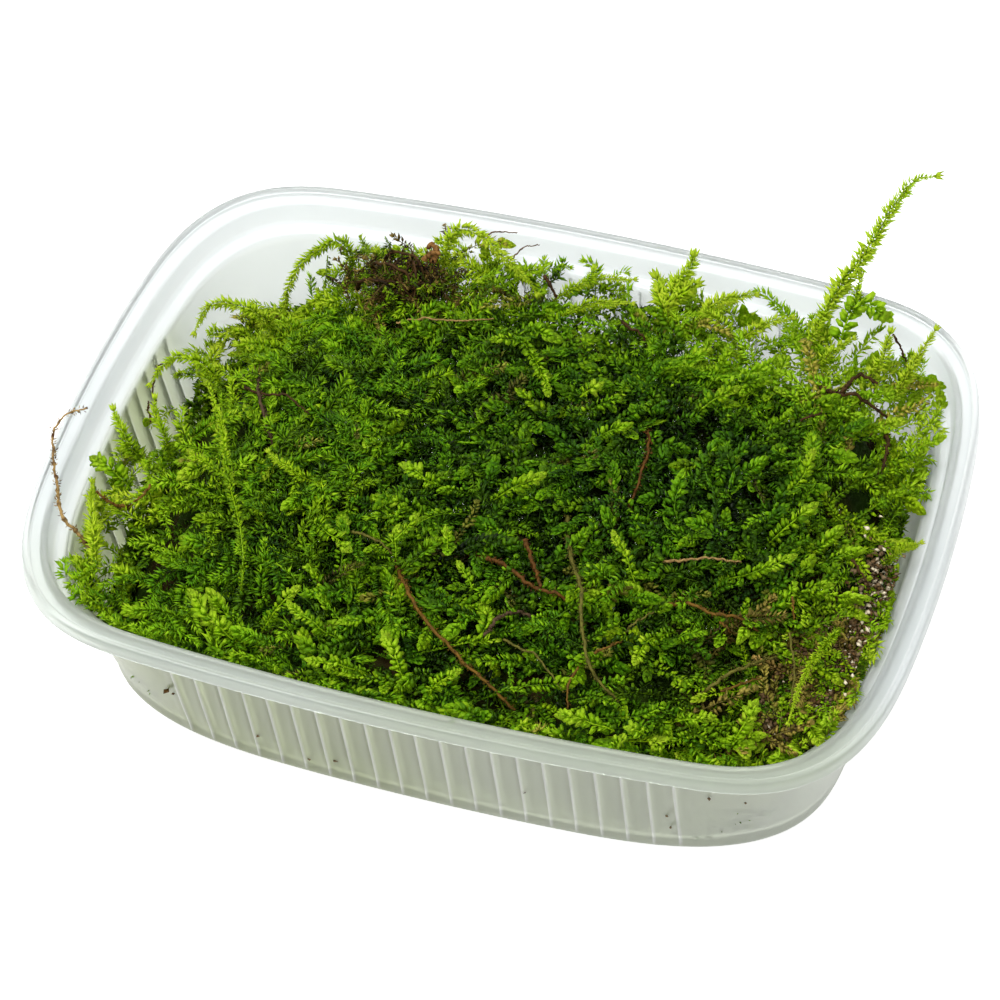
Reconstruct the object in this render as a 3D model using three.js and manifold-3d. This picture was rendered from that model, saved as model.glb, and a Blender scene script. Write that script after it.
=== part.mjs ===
// Potted bogor moss: a shallow milky tub heaped with feathery moss, with the shoots, bare stems,
// roots and litter that stand out of the heap as pieces of their own.
// Millimetres. +Z is up, +X runs along the tub, -Y is its front, and the origin is the middle of the
// tub's flat underside.
import * as THREE from 'three';
import { mergeVertices } from 'three/addons/utils/BufferGeometryUtils.js';
import Module from 'manifold-3d';

const wasm = await Module();
wasm.setup();

// Tub
const TUB_LENGTH = 108;
const TUB_WIDTH = 81.2;
const TUB_HEIGHT = 25;
const WALL = 0.7;
const CORNER_ALONG = 21.4; // reach of a rim corner along the long side
const CORNER_ACROSS = 26.8; // reach of a rim corner along the short side
const FOOT_CORNER_ALONG = 32; // the same at the foot, where the plan is rounder
const FOOT_CORNER_ACROSS = 19.2;
const CORNER_POWER = 3.5; // exponent of the corner's superellipse
const BOW_LONG = 0.074; // share of its distance by which a long side falls back at its ends
const BOW_SHORT = 0.065;
const SKIRT_DROP = 1.9;
const RIM_INNER = 2.8; // inset of the rim's inner top edge
const LEDGE_INNER = 4.8; // inset of the inner end of the stacking ledge
const LEDGE_Z = 21.2;
const WALL_TOP_Z = 20.4;
const WALL_TOP_INSET = 4.5; // outer face of the body wall, just under the ledge
const FOOT_INSET = 7.3; // outer face of the body wall at the top of the foot's rounding
const FOOT_RADIUS = 2.5;
const FLOOR = 0.8;
const RIB_PITCH = 3.05;
const RIB_WIDTH = 0.7;
const RIB_PROUD = 0.28;
const RIBS_LONG = 21;
const RIBS_SHORT = 9;

// Moss heap
const GAP = 0.3; // clearance between pieces that touch
const EDGE_HEIGHT = 22.3; // height of the heap where it meets the walls
const CROWN = 4.0; // rise of the heap to its middle
const CELL = 3.9; // size of a facet of the heap's relief
const LUMP = 0.75; // height of the heap's lumps
const LITTER_CELL = 1.5; // size of a facet of the litter
// Hollows of the heap: depth, then middle and reach along x and y
const DIPS = [
  { depth: 10.5, x: -43, y: 29, rx: 14, ry: 16 }, // sunken back left corner
  { depth: 6.0, x: -51, y: 6, rx: 7.5, ry: 16 }, // left side
  { depth: 3.4, x: -54, y: -19, rx: 9, ry: 13 }, // front left corner
  { depth: 3.2, x: 56, y: -5, rx: 9, ry: 18 }, // right side
  { depth: 3.0, x: 55, y: 20, rx: 8, ry: 9 }, // back right corner
  { depth: 1.4, x: 45, y: -36, rx: 13, ry: 6 }, // front right corner
];
// Where the moss is loose, its packed part lies this much under the tips of its leaves.
const LOOSE = [
  { depth: 2.6, x: 31, y: 29, rx: 6.5, ry: 5 }, // back right
  { depth: 1.8, x: 2, y: 31, rx: 12, ry: 5 }, // middle of the back
  { depth: 1.6, x: -33, y: 22, rx: 8, ry: 6 }, // back left
  { depth: 1.8, x: -40, y: 4, rx: 6, ry: 12 }, // left side
  { depth: 2.2, x: -37, y: -21, rx: 7, ry: 10 }, // front left
  { depth: 1.6, x: 43, y: -6, rx: 5, ry: 9 }, // right side
];

// Shoots
const LEAF_HALF = 1.15; // half width over the leaf tips
const STALK_HALF = 0.38; // half width between two leaves
const LEAF_PITCH = 2.4;
const LEAF_LEAN = 0.8; // how far a leaf tip lies ahead of its root
const SHOOT_THICK = 0.34;
const FACING = new THREE.Vector3(0.2, -0.5, 0.85).normalize(); // the way a shoot's flat side looks

// Colours
const MILKY = 0xdfe5e3;
const DEEP_GREEN = 0x3f6b1c;
const LEAF_GREEN = 0x6f9f24;
const PALE_GREEN = 0x9fc23a;
const DARK_BROWN = 0x3a2616;
const TAN = 0xb08a4a;
const ORANGE_BROWN = 0x8a5426;
const RED_BROWN = 0x6e3a24;
const PURPLE_BROWN = 0x5a4038;
const OLIVE = 0x7d7a34;
const LITTER = 0x6b4c26;

// Plain helpers

function smoothNoise(x, y) {
  const a = Math.sin(0.62 * x + 1.3) * Math.cos(0.55 * y - 0.7);
  const b = Math.sin(0.95 * x - 0.8 * y + 2.1);
  const c = Math.sin(1.3 * y + 0.5 * x + 0.4);
  return 0.5 * a + 0.32 * b + 0.28 * c;
}

function hash(i, j) {
  const s = Math.sin(i * 127.1 + j * 311.7) * 43758.5453;
  return 2 * (s - Math.floor(s)) - 1;
}

// A closed skin through rings of equal count. A ring of one point closes an end; any other end is
// closed by a fan round its middle.
function loft(rings) {
  const points = [];
  const faces = [];
  const starts = [];
  const closed = rings.slice();
  if (closed[0].length > 1) closed.unshift([middleOf(closed[0])]);
  if (closed[closed.length - 1].length > 1) closed.push([middleOf(closed[closed.length - 1])]);
  for (const ring of closed) {
    starts.push(points.length);
    points.push(...ring);
  }
  for (let r = 0; r + 1 < closed.length; r += 1) {
    const low = closed[r];
    const high = closed[r + 1];
    const n = Math.max(low.length, high.length);
    for (let k = 0; k < n; k += 1) {
      const next = (k + 1) % n;
      const a = starts[r] + (low.length > 1 ? k : 0);
      const b = starts[r] + (low.length > 1 ? next : 0);
      const c = starts[r + 1] + (high.length > 1 ? next : 0);
      const d = starts[r + 1] + (high.length > 1 ? k : 0);
      if (low.length > 1) faces.push(a, b, c);
      if (high.length > 1) faces.push(a, c, d);
    }
  }
  const geometry = new THREE.BufferGeometry().setFromPoints(points);
  geometry.setIndex(faces);
  return geometry;
}

function middleOf(ring) {
  const middle = new THREE.Vector3();
  ring.forEach((p) => middle.add(p));
  return middle.divideScalar(ring.length);
}

function toSolid(geometry) {
  const bare = geometry.clone();
  bare.deleteAttribute('normal');
  bare.deleteAttribute('uv');
  const merged = mergeVertices(bare, 1e-5);
  const solid = new wasm.Manifold(new wasm.Mesh({
    numProp: 3,
    vertProperties: new Float32Array(merged.attributes.position.array),
    triVerts: new Uint32Array(merged.index.array),
  }));
  return solid;
}

function toGeometry(solid) {
  const mesh = solid.getMesh();
  const geometry = new THREE.BufferGeometry();
  geometry.setAttribute('position', new THREE.BufferAttribute(mesh.vertProperties, mesh.numProp));
  geometry.setIndex(new THREE.BufferAttribute(mesh.triVerts, 1));
  geometry.computeVertexNormals();
  return geometry;
}

// Tub outline: a rectangle with superellipse corners, then both pairs of sides bowed outwards.
function outline(inset, z, deep = 0) {
  const halfLength = TUB_LENGTH / 2 - inset;
  const halfWidth = TUB_WIDTH / 2 - inset;
  const along = THREE.MathUtils.lerp(CORNER_ALONG - inset, FOOT_CORNER_ALONG, deep);
  const across = THREE.MathUtils.lerp(CORNER_ACROSS - inset, FOOT_CORNER_ACROSS, deep);
  const steps = 6;
  const quarter = [];
  for (let k = 0; k <= steps; k += 1) {
    const angle = (k / steps) * (Math.PI / 2);
    const c = k === steps ? 0 : Math.cos(angle) ** (2 / CORNER_POWER);
    const s = k === 0 ? 0 : Math.sin(angle) ** (2 / CORNER_POWER);
    quarter.push([halfLength - along + along * c, halfWidth - across + across * s]);
  }
  const flat = [];
  quarter.forEach(([x, y]) => flat.push([x, y]));
  flat.push([0, halfWidth]);
  quarter.slice().reverse().forEach(([x, y]) => flat.push([-x, y]));
  flat.push([-halfLength, 0]);
  quarter.forEach(([x, y]) => flat.push([-x, -y]));
  flat.push([0, -halfWidth]);
  quarter.slice().reverse().forEach(([x, y]) => flat.push([x, -y]));
  flat.push([halfLength, 0]);
  return flat.map(([x, y]) => new THREE.Vector3(
    x * (1 - BOW_SHORT * (y / halfWidth) ** 2),
    y * (1 - BOW_LONG * (x / halfLength) ** 2),
    z,
  ));
}

// The outer face of the body wall at height z: a plan between those of its top and its foot.
function wallPlan(z) {
  const t = (WALL_TOP_Z - z) / (WALL_TOP_Z - FOOT_RADIUS);
  const foot = outline(FOOT_INSET, z, 1);
  return outline(WALL_TOP_INSET, z).map((p, k) => p.lerp(foot[k], t));
}

// Where a closed plan crosses the line axis = value, on the given side of the other axis.
function crossing(plan, axis, value, side) {
  const other = axis === 'x' ? 'y' : 'x';
  for (let k = 0; k < plan.length; k += 1) {
    const p = plan[k];
    const q = plan[(k + 1) % plan.length];
    const spans = (p[axis] - value) * (q[axis] - value) <= 0 && p[axis] !== q[axis];
    if (spans && (p[other] + q[other]) * side > 0) {
      return p[other] + ((q[other] - p[other]) * (value - p[axis])) / (q[axis] - p[axis]);
    }
  }
  return 0;
}

function footRing(angle, radius, inset, floor) {
  return outline(inset + radius * (1 - Math.cos(angle)), floor + radius * (1 - Math.sin(angle)), 1);
}

function tubShell() {
  const top = TUB_HEIGHT;
  const third = Math.PI / 6;
  const rings = [
    [new THREE.Vector3(0, 0, 0)],
    footRing(3 * third, FOOT_RADIUS, FOOT_INSET, 0),
    footRing(2 * third, FOOT_RADIUS, FOOT_INSET, 0),
    footRing(third, FOOT_RADIUS, FOOT_INSET, 0),
    outline(FOOT_INSET, FOOT_RADIUS, 1),
    outline(WALL_TOP_INSET, WALL_TOP_Z),
    outline(WALL_TOP_INSET - 0.5, LEDGE_Z - 0.45),
    outline(RIM_INNER, LEDGE_Z),
    outline(RIM_INNER - WALL + 0.1, top - 1.1),
    outline(WALL, top - 1.1),
    outline(WALL, top - SKIRT_DROP),
    outline(0, top - SKIRT_DROP),
    outline(0, top - 0.6),
    outline(0.2, top - 0.12),
    outline(0.55, top),
    outline(0.95, top - 0.05),
    outline(1.15, top - 0.32),
    outline(RIM_INNER - 0.25, top - 0.28),
    outline(RIM_INNER + 0.05, top - 0.5),
    outline(RIM_INNER + 0.5, LEDGE_Z + 0.8),
    outline(RIM_INNER + 0.85, LEDGE_Z + 0.4),
    outline(LEDGE_INNER, LEDGE_Z),
    outline(WALL_TOP_INSET + WALL, WALL_TOP_Z - 0.2),
    outline(FOOT_INSET + WALL, FOOT_RADIUS + 0.1, 1),
    footRing(1.5 * third, FOOT_RADIUS - WALL, FOOT_INSET + WALL, FLOOR),
    footRing(3 * third, FOOT_RADIUS - WALL, FOOT_INSET + WALL, FLOOR),
    [new THREE.Vector3(0, 0, FLOOR)],
  ];
  return loft(rings);
}

// A rib is a slender ridge down the body wall, let into it and standing RIB_PROUD out of it.
function rib(axis, value, side) {
  const clockwise = (axis === 'x') === (side > 0);
  const rings = [FOOT_RADIUS, WALL_TOP_Z - 0.3].map((z) => {
    const wall = crossing(wallPlan(z), axis, value, side);
    const ridge = [
      [value - RIB_WIDTH / 2, wall - side * 0.2],
      [value, wall + side * RIB_PROUD],
      [value + RIB_WIDTH / 2, wall - side * 0.2],
    ];
    const ring = ridge.map(([a, b]) => new THREE.Vector3(axis === 'x' ? a : b, axis === 'x' ? b : a, z));
    return clockwise ? ring.reverse() : ring;
  });
  return loft(rings);
}

function ribs() {
  const bars = [];
  for (const side of [-1, 1]) {
    for (let k = 0; k < RIBS_LONG; k += 1) {
      bars.push(rib('x', (k - (RIBS_LONG - 1) / 2) * RIB_PITCH, side));
    }
    for (let k = 0; k < RIBS_SHORT; k += 1) {
      bars.push(rib('y', (k - (RIBS_SHORT - 1) / 2) * RIB_PITCH, side));
    }
  }
  return bars;
}

function tub() {
  let solid = toSolid(tubShell());
  for (const bar of ribs()) {
    solid = solid.add(toSolid(bar));
  }
  return solid;
}

function sunk(hollows, x, y) {
  return hollows.reduce((sum, dip) => (
    sum + dip.depth * Math.exp(-(((x - dip.x) / dip.rx) ** 2) - ((y - dip.y) / dip.ry) ** 2)
  ), 0);
}

// Height of the leaves' tips: a dome over the tub, less its hollows.
function moundHeight(x, y) {
  const rise = Math.max(0, 1 - (x / 52) ** 2) * Math.max(0, 1 - (y / 38) ** 2);
  return EDGE_HEIGHT + CROWN * rise - sunk(DIPS, x, y);
}

// Height of the packed moss.
function packedHeight(x, y) {
  return moundHeight(x, y) - sunk(LOOSE, x, y);
}

// A block with a relief on top: heights(x, y, i, j) over a grid of cells, flat below at floor.
function reliefBlock(minX, maxX, minY, maxY, cell, floor, heights) {
  const nx = Math.round((maxX - minX) / cell);
  const ny = Math.round((maxY - minY) / cell);
  const points = [];
  const faces = [];
  const at = (i, j) => i * (ny + 1) + j;
  for (let i = 0; i <= nx; i += 1) {
    for (let j = 0; j <= ny; j += 1) {
      const x = minX + ((maxX - minX) * i) / nx;
      const y = minY + ((maxY - minY) * j) / ny;
      points.push(new THREE.Vector3(x, y, heights(x, y, i, j)));
    }
  }
  for (let i = 0; i < nx; i += 1) {
    for (let j = 0; j < ny; j += 1) {
      const [a, b, c, d] = [at(i, j), at(i + 1, j), at(i + 1, j + 1), at(i, j + 1)];
      if ((i + j) % 2) faces.push(a, b, c, a, c, d);
      else faces.push(a, b, d, b, c, d);
    }
  }
  const rim = [];
  for (let i = 0; i < nx; i += 1) rim.push(at(i, 0));
  for (let j = 0; j < ny; j += 1) rim.push(at(nx, j));
  for (let i = nx; i > 0; i -= 1) rim.push(at(i, ny));
  for (let j = ny; j > 0; j -= 1) rim.push(at(0, j));
  const below = points.length;
  rim.forEach((v) => points.push(new THREE.Vector3(points[v].x, points[v].y, floor)));
  const middle = points.length;
  points.push(new THREE.Vector3((minX + maxX) / 2, (minY + maxY) / 2, floor));
  rim.forEach((v, k) => {
    const next = (k + 1) % rim.length;
    faces.push(rim[next], v, below + k, rim[next], below + k, below + next);
    faces.push(below + next, below + k, middle);
  });
  const geometry = new THREE.BufferGeometry().setFromPoints(points);
  geometry.setIndex(faces);
  return geometry;
}

// The room inside the tub, GAP clear of its floor and walls, carried on upwards past the heap.
function tubRoom() {
  const above = TUB_HEIGHT + 20;
  return loft([
    outline(FOOT_INSET + FOOT_RADIUS + GAP, FLOOR + GAP, 1),
    outline(FOOT_INSET + WALL + GAP + 0.25, FOOT_RADIUS + 0.3, 1),
    outline(WALL_TOP_INSET + WALL + GAP + 0.15, WALL_TOP_Z),
    outline(LEDGE_INNER + 0.1, LEDGE_Z + GAP + 0.1),
    outline(RIM_INNER + 0.5 + GAP + 0.25, LEDGE_Z + 1.1),
    outline(RIM_INNER + 0.5 + GAP, TUB_HEIGHT),
    outline(RIM_INNER + 0.5 + GAP, above),
  ]);
}

// Points given by their height over the tips of the leaves, or, below zero, under the packed moss.
function lifted(points) {
  return points.map(([x, y, lift]) => {
    const height = lift < 0 ? packedHeight(x, y) : moundHeight(x, y);
    return new THREE.Vector3(x, y, height + lift);
  });
}

// Cross directions of a flat shoot: across its width, and out of its flat side.
function crossFrame(curve, s) {
  const along = curve.getTangentAt(s);
  const across = new THREE.Vector3().crossVectors(along, FACING).normalize();
  const out = new THREE.Vector3().crossVectors(across, along).normalize();
  return { along, across, out };
}

function leafSpread(s) {
  const foot = THREE.MathUtils.smoothstep(s, 0.02, 0.3);
  const tip = 1 - 0.45 * THREE.MathUtils.smoothstep(s, 0.75, 1);
  return foot * tip;
}

// A feathery shoot: stations along the stalk, wide at each pair of leaf tips and narrow between them.
function feather(points, half = LEAF_HALF) {
  const curve = new THREE.CatmullRomCurve3(lifted(points));
  const leaves = Math.max(3, Math.round(curve.getLength() / LEAF_PITCH));
  const rings = [];
  for (let k = 0; k < 2 * leaves; k += 1) {
    const s = k / (2 * leaves);
    const { along, across, out } = crossFrame(curve, s);
    const wide = k % 2 === 1;
    const reach = wide ? Math.max(STALK_HALF, half * leafSpread(s)) : STALK_HALF;
    const middle = curve.getPointAt(s);
    const lean = wide ? LEAF_LEAN * leafSpread(s) : 0;
    const side = (sign) => middle.clone().addScaledVector(across, sign * reach)
      .addScaledVector(along, lean).addScaledVector(out, -SHOOT_THICK * 0.5);
    rings.push([side(-1), middle.clone().addScaledVector(out, SHOOT_THICK), side(1)]);
  }
  rings.push([curve.getPointAt(1)]);
  return loft(rings);
}

// The room that a shoot needs in its neighbours, with few faces.
function featherRoom(points, half = LEAF_HALF) {
  const curve = new THREE.CatmullRomCurve3(lifted(points));
  const steps = Math.max(3, Math.round(curve.getLength() / 3.8));
  const rings = [];
  for (let k = 0; k <= steps; k += 1) {
    const s = k / steps;
    const { along, across, out } = crossFrame(curve, s);
    const reach = Math.max(STALK_HALF, half * leafSpread(Math.min(1, s + 0.08))) + GAP + 0.5;
    const shift = k === 0 ? -GAP - 0.1 : (k === steps ? GAP + 0.3 : 0);
    const middle = curve.getPointAt(s).addScaledVector(along, shift).addScaledVector(out, -0.6);
    rings.push([
      middle.clone().addScaledVector(across, -reach),
      middle.clone().addScaledVector(out, 2.2),
      middle.clone().addScaledVector(across, reach),
    ]);
  }
  return loft(rings);
}

// A bare stem: a tube round a curve, tapering from its foot to its tip.
function stalk(curve, radius, tip = 0.7, sides = 5, pitch = 2.6, extra = 0) {
  const steps = Math.max(4, Math.round(curve.getLength() / pitch));
  const frames = curve.computeFrenetFrames(steps, false);
  const rings = [];
  for (let k = 0; k <= steps; k += 1) {
    const s = k / steps;
    const r = radius * THREE.MathUtils.lerp(1, tip, s) + extra;
    const ends = (k === 0 ? -1 : 0) + (k === steps ? 1 : 0);
    const middle = curve.getPointAt(s).addScaledVector(frames.tangents[k], ends * extra);
    const ring = [];
    for (let q = 0; q < sides; q += 1) {
      const angle = (q / sides) * 2 * Math.PI;
      ring.push(middle.clone().addScaledVector(frames.normals[k], r * Math.cos(angle))
        .addScaledVector(frames.binormals[k], r * Math.sin(angle)));
    }
    rings.push(ring);
  }
  return loft(rings);
}

function stem(points, radius, tip) {
  return stalk(new THREE.CatmullRomCurve3(lifted(points)), radius, tip);
}

function stemRoom(points, radius) {
  return stalk(new THREE.CatmullRomCurve3(lifted(points)), radius, 1, 4, 3.2, GAP + 0.18);
}

// Shoots: name, colour, half width, then points as x, y and height over the heap, from foot to tip.
// A second list of points is a side branch grown on the first.
const SHOOTS = [
  ['tall_shoot', PALE_GREEN, 1.1,
    [[29, 31, -1.2], [31.5, 35.5, 5], [34, 38, 10], [37, 40.5, 17], [39, 41, 21], [42, 41, 22.5]]],
  ['knot_shoot', LEAF_GREEN, 1.5, [[33, 30.5, -1], [33.5, 33.5, 3], [35, 34.5, 4.8], [38, 33, 5]]],
  ['hanging_branch', LEAF_GREEN, 0.8, [[31, 27, -1], [33, 28.5, 1.5], [35, 30.5, 2.4]]],
  ['right_tuft', PALE_GREEN, 1.3, [[37.5, 27, -1.2], [39, 28, 2], [39.5, 30, 5.5]]],
  ['brown_tipped_shoot', LEAF_GREEN, 0.9, [[41.5, 24.5, -1], [43, 27.5, 3.5], [45, 30.5, 7.5]]],
  ['right_edge_shoot', LEAF_GREEN, 1, [[44.5, 15.5, -1], [46.5, 15.5, 3], [49, 16, 6]]],
  ['right_low_shoot', LEAF_GREEN, 0.8, [[46, -0.5, -1], [48, 0, 2.5], [50.5, 0.5, 5.5]]],
  ['hooked_tuft', LEAF_GREEN, 1.9, [[11.5, 29, -1.2], [11.5, 32.5, 2.5], [13, 34, 5], [13.5, 35, 7]]],
  ['back_arch', PALE_GREEN, 1.1,
    [[-18, 30, -1.2], [-17.5, 31.5, 3.5], [-16.5, 32.5, 5.5], [-13.5, 32, 5.5], [-8.5, 29.5, 3.5],
     [-4.5, 27.5, 1]]],
  ['back_high_frond', LEAF_GREEN, 0.7,
    [[-3, 28.5, -0.8], [-0.5, 29.5, 1.6], [3, 30.5, 3.2], [7, 31, 3.8]]],
  ['back_low_frond', LEAF_GREEN, 0.7, [[-1, 26, -0.8], [2, 27.5, 1], [7.5, 28.5, 1.8]]],
  ['back_right_frond', PALE_GREEN, 0.9,
    [[15.5, 29.5, -1], [16.5, 31.5, 1.5], [19, 32.5, 2.8], [22, 33, 3.8]]],
  ['back_right_bough', LEAF_GREEN, 0.9, [[21, 29, -1], [24, 30.5, 1.5], [27, 31.5, 2.6]]],
  ['back_left_arch', LEAF_GREEN, 0.9,
    [[-30, 29, -1.2], [-30.5, 30, 4.5], [-32, 30, 7], [-35.5, 28.5, 7], [-37, 25.5, 5],
     [-38, 23.5, -0.8]]],
  ['left_upper_arch', PALE_GREEN, 1,
    [[-36.5, 19.5, -1.2], [-38, 17, 4.5], [-42, 17, 7], [-44, 15, 7.5], [-44, 11, 5.5]]],
  ['left_lower_arch', LEAF_GREEN, 1,
    [[-38.5, 5.5, -1.2], [-40.5, 5.5, 2.5], [-44, 6, 5], [-45.5, 4, 5.5], [-46, 1, 5]]],
  ['left_spruce_shoot', LEAF_GREEN, 1.1,
    [[-44, -8, -1.2], [-45.5, -8, 2.5], [-46.5, -7, 4.5], [-48, -5.5, 7]]],
  ['left_round_tip', LEAF_GREEN, 1.3, [[-43, -13.5, -1], [-45, -13, 2], [-48, -11.5, 3.5]]],
  ['left_wall_frond', PALE_GREEN, 0.9,
    [[-42.5, -26.5, -1.2], [-43.5, -23.5, 1.5], [-45.5, -19.5, 2.5], [-47, -15.5, 3.5]]],
  ['left_standing_shoot', LEAF_GREEN, 0.9,
    [[-40, -8.5, -1.2], [-40.5, -7.5, 2], [-42.5, -5.5, 4], [-43, -4, 6]]],
  ['long_pale_frond', PALE_GREEN, 0.9,
    [[-24, -27, -1.2], [-24.5, -23.5, 1.5], [-27, -18.5, 2.5], [-31, -11.5, 3], [-33.5, -6, 3],
     [-38, 0.5, 4]],
    [[-29.5, -14, 3], [-32, -12.5, 3], [-36, -10.5, 3]]],
  ['upper_left_sprig', PALE_GREEN, 0.9,
    [[-20.5, -9, -1.2], [-23, -9.5, 1], [-25, -9, 1.7], [-27, -8, 2.2]]],
  ['left_centre_sprig', LEAF_GREEN, 1.2,
    [[-20.5, -13.5, -1.2], [-17.5, -16.5, 1], [-14.5, -18.5, 1.8], [-13, -19.5, 2.2]]],
  ['front_left_tip', PALE_GREEN, 1.2,
    [[-21, -33.2, -1.2], [-23.5, -33, 1.2], [-26, -32, 2.2], [-28, -30.5, 3]]],
  ['front_left_fan', LEAF_GREEN, 0.9, [[-20, -30.5, -1], [-18.5, -28.5, 1.2], [-17, -26.5, 2.2]]],
  ['front_left_spray', LEAF_GREEN, 0.9,
    [[-10.5, -29.5, -1.2], [-12.5, -30, 1], [-14.5, -29.5, 1.8], [-16.5, -29, 2.5]]],
  ['front_left_low', PALE_GREEN, 0.9, [[-6, -33, -1], [-8.5, -34, 1.2], [-12, -35, 2.4]]],
  ['front_sprig_left', PALE_GREEN, 1.1, [[-1, -34, -1], [-2.5, -32.5, 1.5], [-4.5, -30.5, 3]]],
  ['front_sprig_mid', PALE_GREEN, 0.9, [[1.5, -34.2, -0.8], [2.5, -34, 1.6], [4.5, -33, 3]]],
  ['centre_round_tip', PALE_GREEN, 1.1, [[-5.5, -6, -1.2], [-7.5, -7, 1.2], [-10, -6.5, 2.2]]],
  ['centre_spray', LEAF_GREEN, 1.1, [[0, -7, -1.2], [2.5, -6, 1.2], [5.5, -4, 2.2]]],
  ['upper_centre_frond', LEAF_GREEN, 1,
    [[-8, 22, -1.2], [-3.5, 18, 1.2], [0, 13.5, 1.8], [2.5, 9.5, 2.2]]],
  ['centre_leaf_spray', LEAF_GREEN, 1, [[8, 4.5, -1.2], [10.5, 5.5, 1.2], [13, 7, 2]]],
  ['centre_right_spray', LEAF_GREEN, 1, [[19, 12.5, -1.2], [21, 14.5, 1.2], [23.5, 17, 2]]],
  ['right_spray', LEAF_GREEN, 1, [[32.5, 4, -1.2], [34.5, 6, 1.2], [35, 9.5, 2.4]]],
  ['right_round_tip', PALE_GREEN, 1.2, [[33, -2.5, -1.2], [35, -1, 1.3], [37, 1.5, 2.4]]],
  ['centre_blue_sprig', LEAF_GREEN, 1.1, [[22.5, -4, -1.2], [21.5, -2, 1.2], [21.5, 1, 2.4]]],
  ['right_long_spray', LEAF_GREEN, 1, [[29.5, -9.5, -1.2], [33, -9, 1.2], [36.5, -6.5, 2.2]]],
  ['front_slim_sprig', PALE_GREEN, 0.8, [[20.5, -14.5, -1.2], [19, -12.5, 1.2], [16.5, -10, 2.4]]],
  ['front_curled_spray', LEAF_GREEN, 1.1, [[26, -18.5, -1], [24, -22, 1.2], [23.5, -25.5, 2]]],
  ['long_bright_frond', PALE_GREEN, 0.8,
    [[44, -11, -1.2], [43.5, -15, 1.2], [42.5, -19, 1.8], [42, -23.5, 2], [42, -28, 1.6]]],
  ['front_right_tip', PALE_GREEN, 1.2, [[36, -31.5, -1.2], [37, -30.5, 1.2], [38, -28, 2.8]]],
];

// Fine brown hairs grown on the back arch.
const HAIRS = [
  [[-13.5, 32, 5.5], [-11.5, 33.2, 6], [-9, 33.7, 6.2]],
  [[-9, 30, 3.8], [-8, 32.4, 4.6], [-6, 33.4, 5]],
];

// Bare stems: name, colour, radius, then points, and a second list for a fork.
const STEMS = [
  ['orange_stem', ORANGE_BROWN, 0.3,
    [[-8, -17.5, -0.8], [-5, -22, 1.2], [-2, -25.5, 1.5], [3.5, -29.5, 1.6], [7, -31.5, 1.4],
     [11.5, -33, -0.8]]],
  ['red_stem', RED_BROWN, 0.34,
    [[0, -14.5, -0.8], [4, -16, 1.2], [6.5, -17, 1.4], [9.5, -18.5, 1.4], [12.5, -18.5, 1.1],
     [14, -18.5, -0.8]],
    [[6.5, -13, 2.4], [8, -15, 1.9], [10, -18.2, 1.4]]],
  ['crossing_stem', PURPLE_BROWN, 0.3,
    [[4, -26.5, -0.8], [6, -25.5, 1.2], [6.5, -23.5, 1.3], [8.5, -22, 1.2], [11, -21.5, -0.8]]],
  ['standing_stem', OLIVE, 0.34,
    [[9.5, -6, -0.8], [12, -13, 1.8], [15, -18.5, 3.2], [16.5, -23, 2.4], [19, -27.5, 1.6],
     [22.5, -29, -0.8]]],
  ['brown_stem', ORANGE_BROWN, 0.3,
    [[23, -15.5, -0.8], [26.5, -15.5, 1.2], [30, -16, 1.4], [33, -15.5, 1.2], [36, -15.5, -0.8]]],
  ['olive_stem', OLIVE, 0.3,
    [[30.5, -27, -0.8], [33, -24.5, 1.3], [36, -21.5, 1.5], [38.5, -17.5, -0.8]]],
  ['back_red_stem', RED_BROWN, 0.28, [[14, 11.5, -0.8], [16, 6, 1.2], [16.5, 1, 1.4], [16, -3, -0.8]]],
  ['upper_left_stem', PURPLE_BROWN, 0.3,
    [[-28, -4, -0.8], [-29, -3, 1], [-32.5, 3, 1.5], [-35, 10, -0.8]]],
  ['dark_twig', DARK_BROWN, 0.34,
    [[32.5, 24, -0.8], [35.5, 22, 1], [37.5, 22, 1.5], [41.5, 22, -0.8]],
    [[35.5, 22.2, 1.1], [37, 24.5, 2.6], [39.5, 24, 2.5]]],
  ['right_twig', DARK_BROWN, 0.3, [[41.5, 19, -0.8], [42.5, 17, 1], [43, 13, 1.2], [42, 10.5, -0.8]]],
  ['left_stalk', ORANGE_BROWN, 0.28, [[-42, -16, -0.8], [-43.5, -17.5, 1.5], [-45.5, -17.5, 4]]],
];

const ROOT_PATH = [
  [-44, -23.5, -0.8], [-45.5, -23.5, 2.6], [-47.5, -23, 5.6], [-49.5, -19.5, 7.6], [-51, -16.5, 8.8],
  [-52.5, -13, 10.2], [-52, -10.5, 11.1], [-49.5, -9, 11.1],
];
const ROOT_RADIUS = 0.38;

const CLUMP = { x: -21.5, y: 26, lift: 1.0, rx: 5.2, ry: 3.4, rz: 2.6 };
const CLUMP_ROOTS = [
  [[-28, 26, 0.9], [-26.5, 24, 3.6], [-24, 23.5, 4], [-22, 24.5, 2.8]],
  [[-26, 29.5, 1.4], [-24, 28.6, 4.5], [-20.5, 27.8, 4.3], [-19, 26.2, 2]],
  [[-27, 28, 2], [-25, 26.2, 4.8], [-21.5, 25.3, 4.1], [-19, 24, 1.5]],
  [[-22.5, 29.2, 1.8], [-20.5, 27, 4.1], [-19.5, 25, 3]],
];

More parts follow.
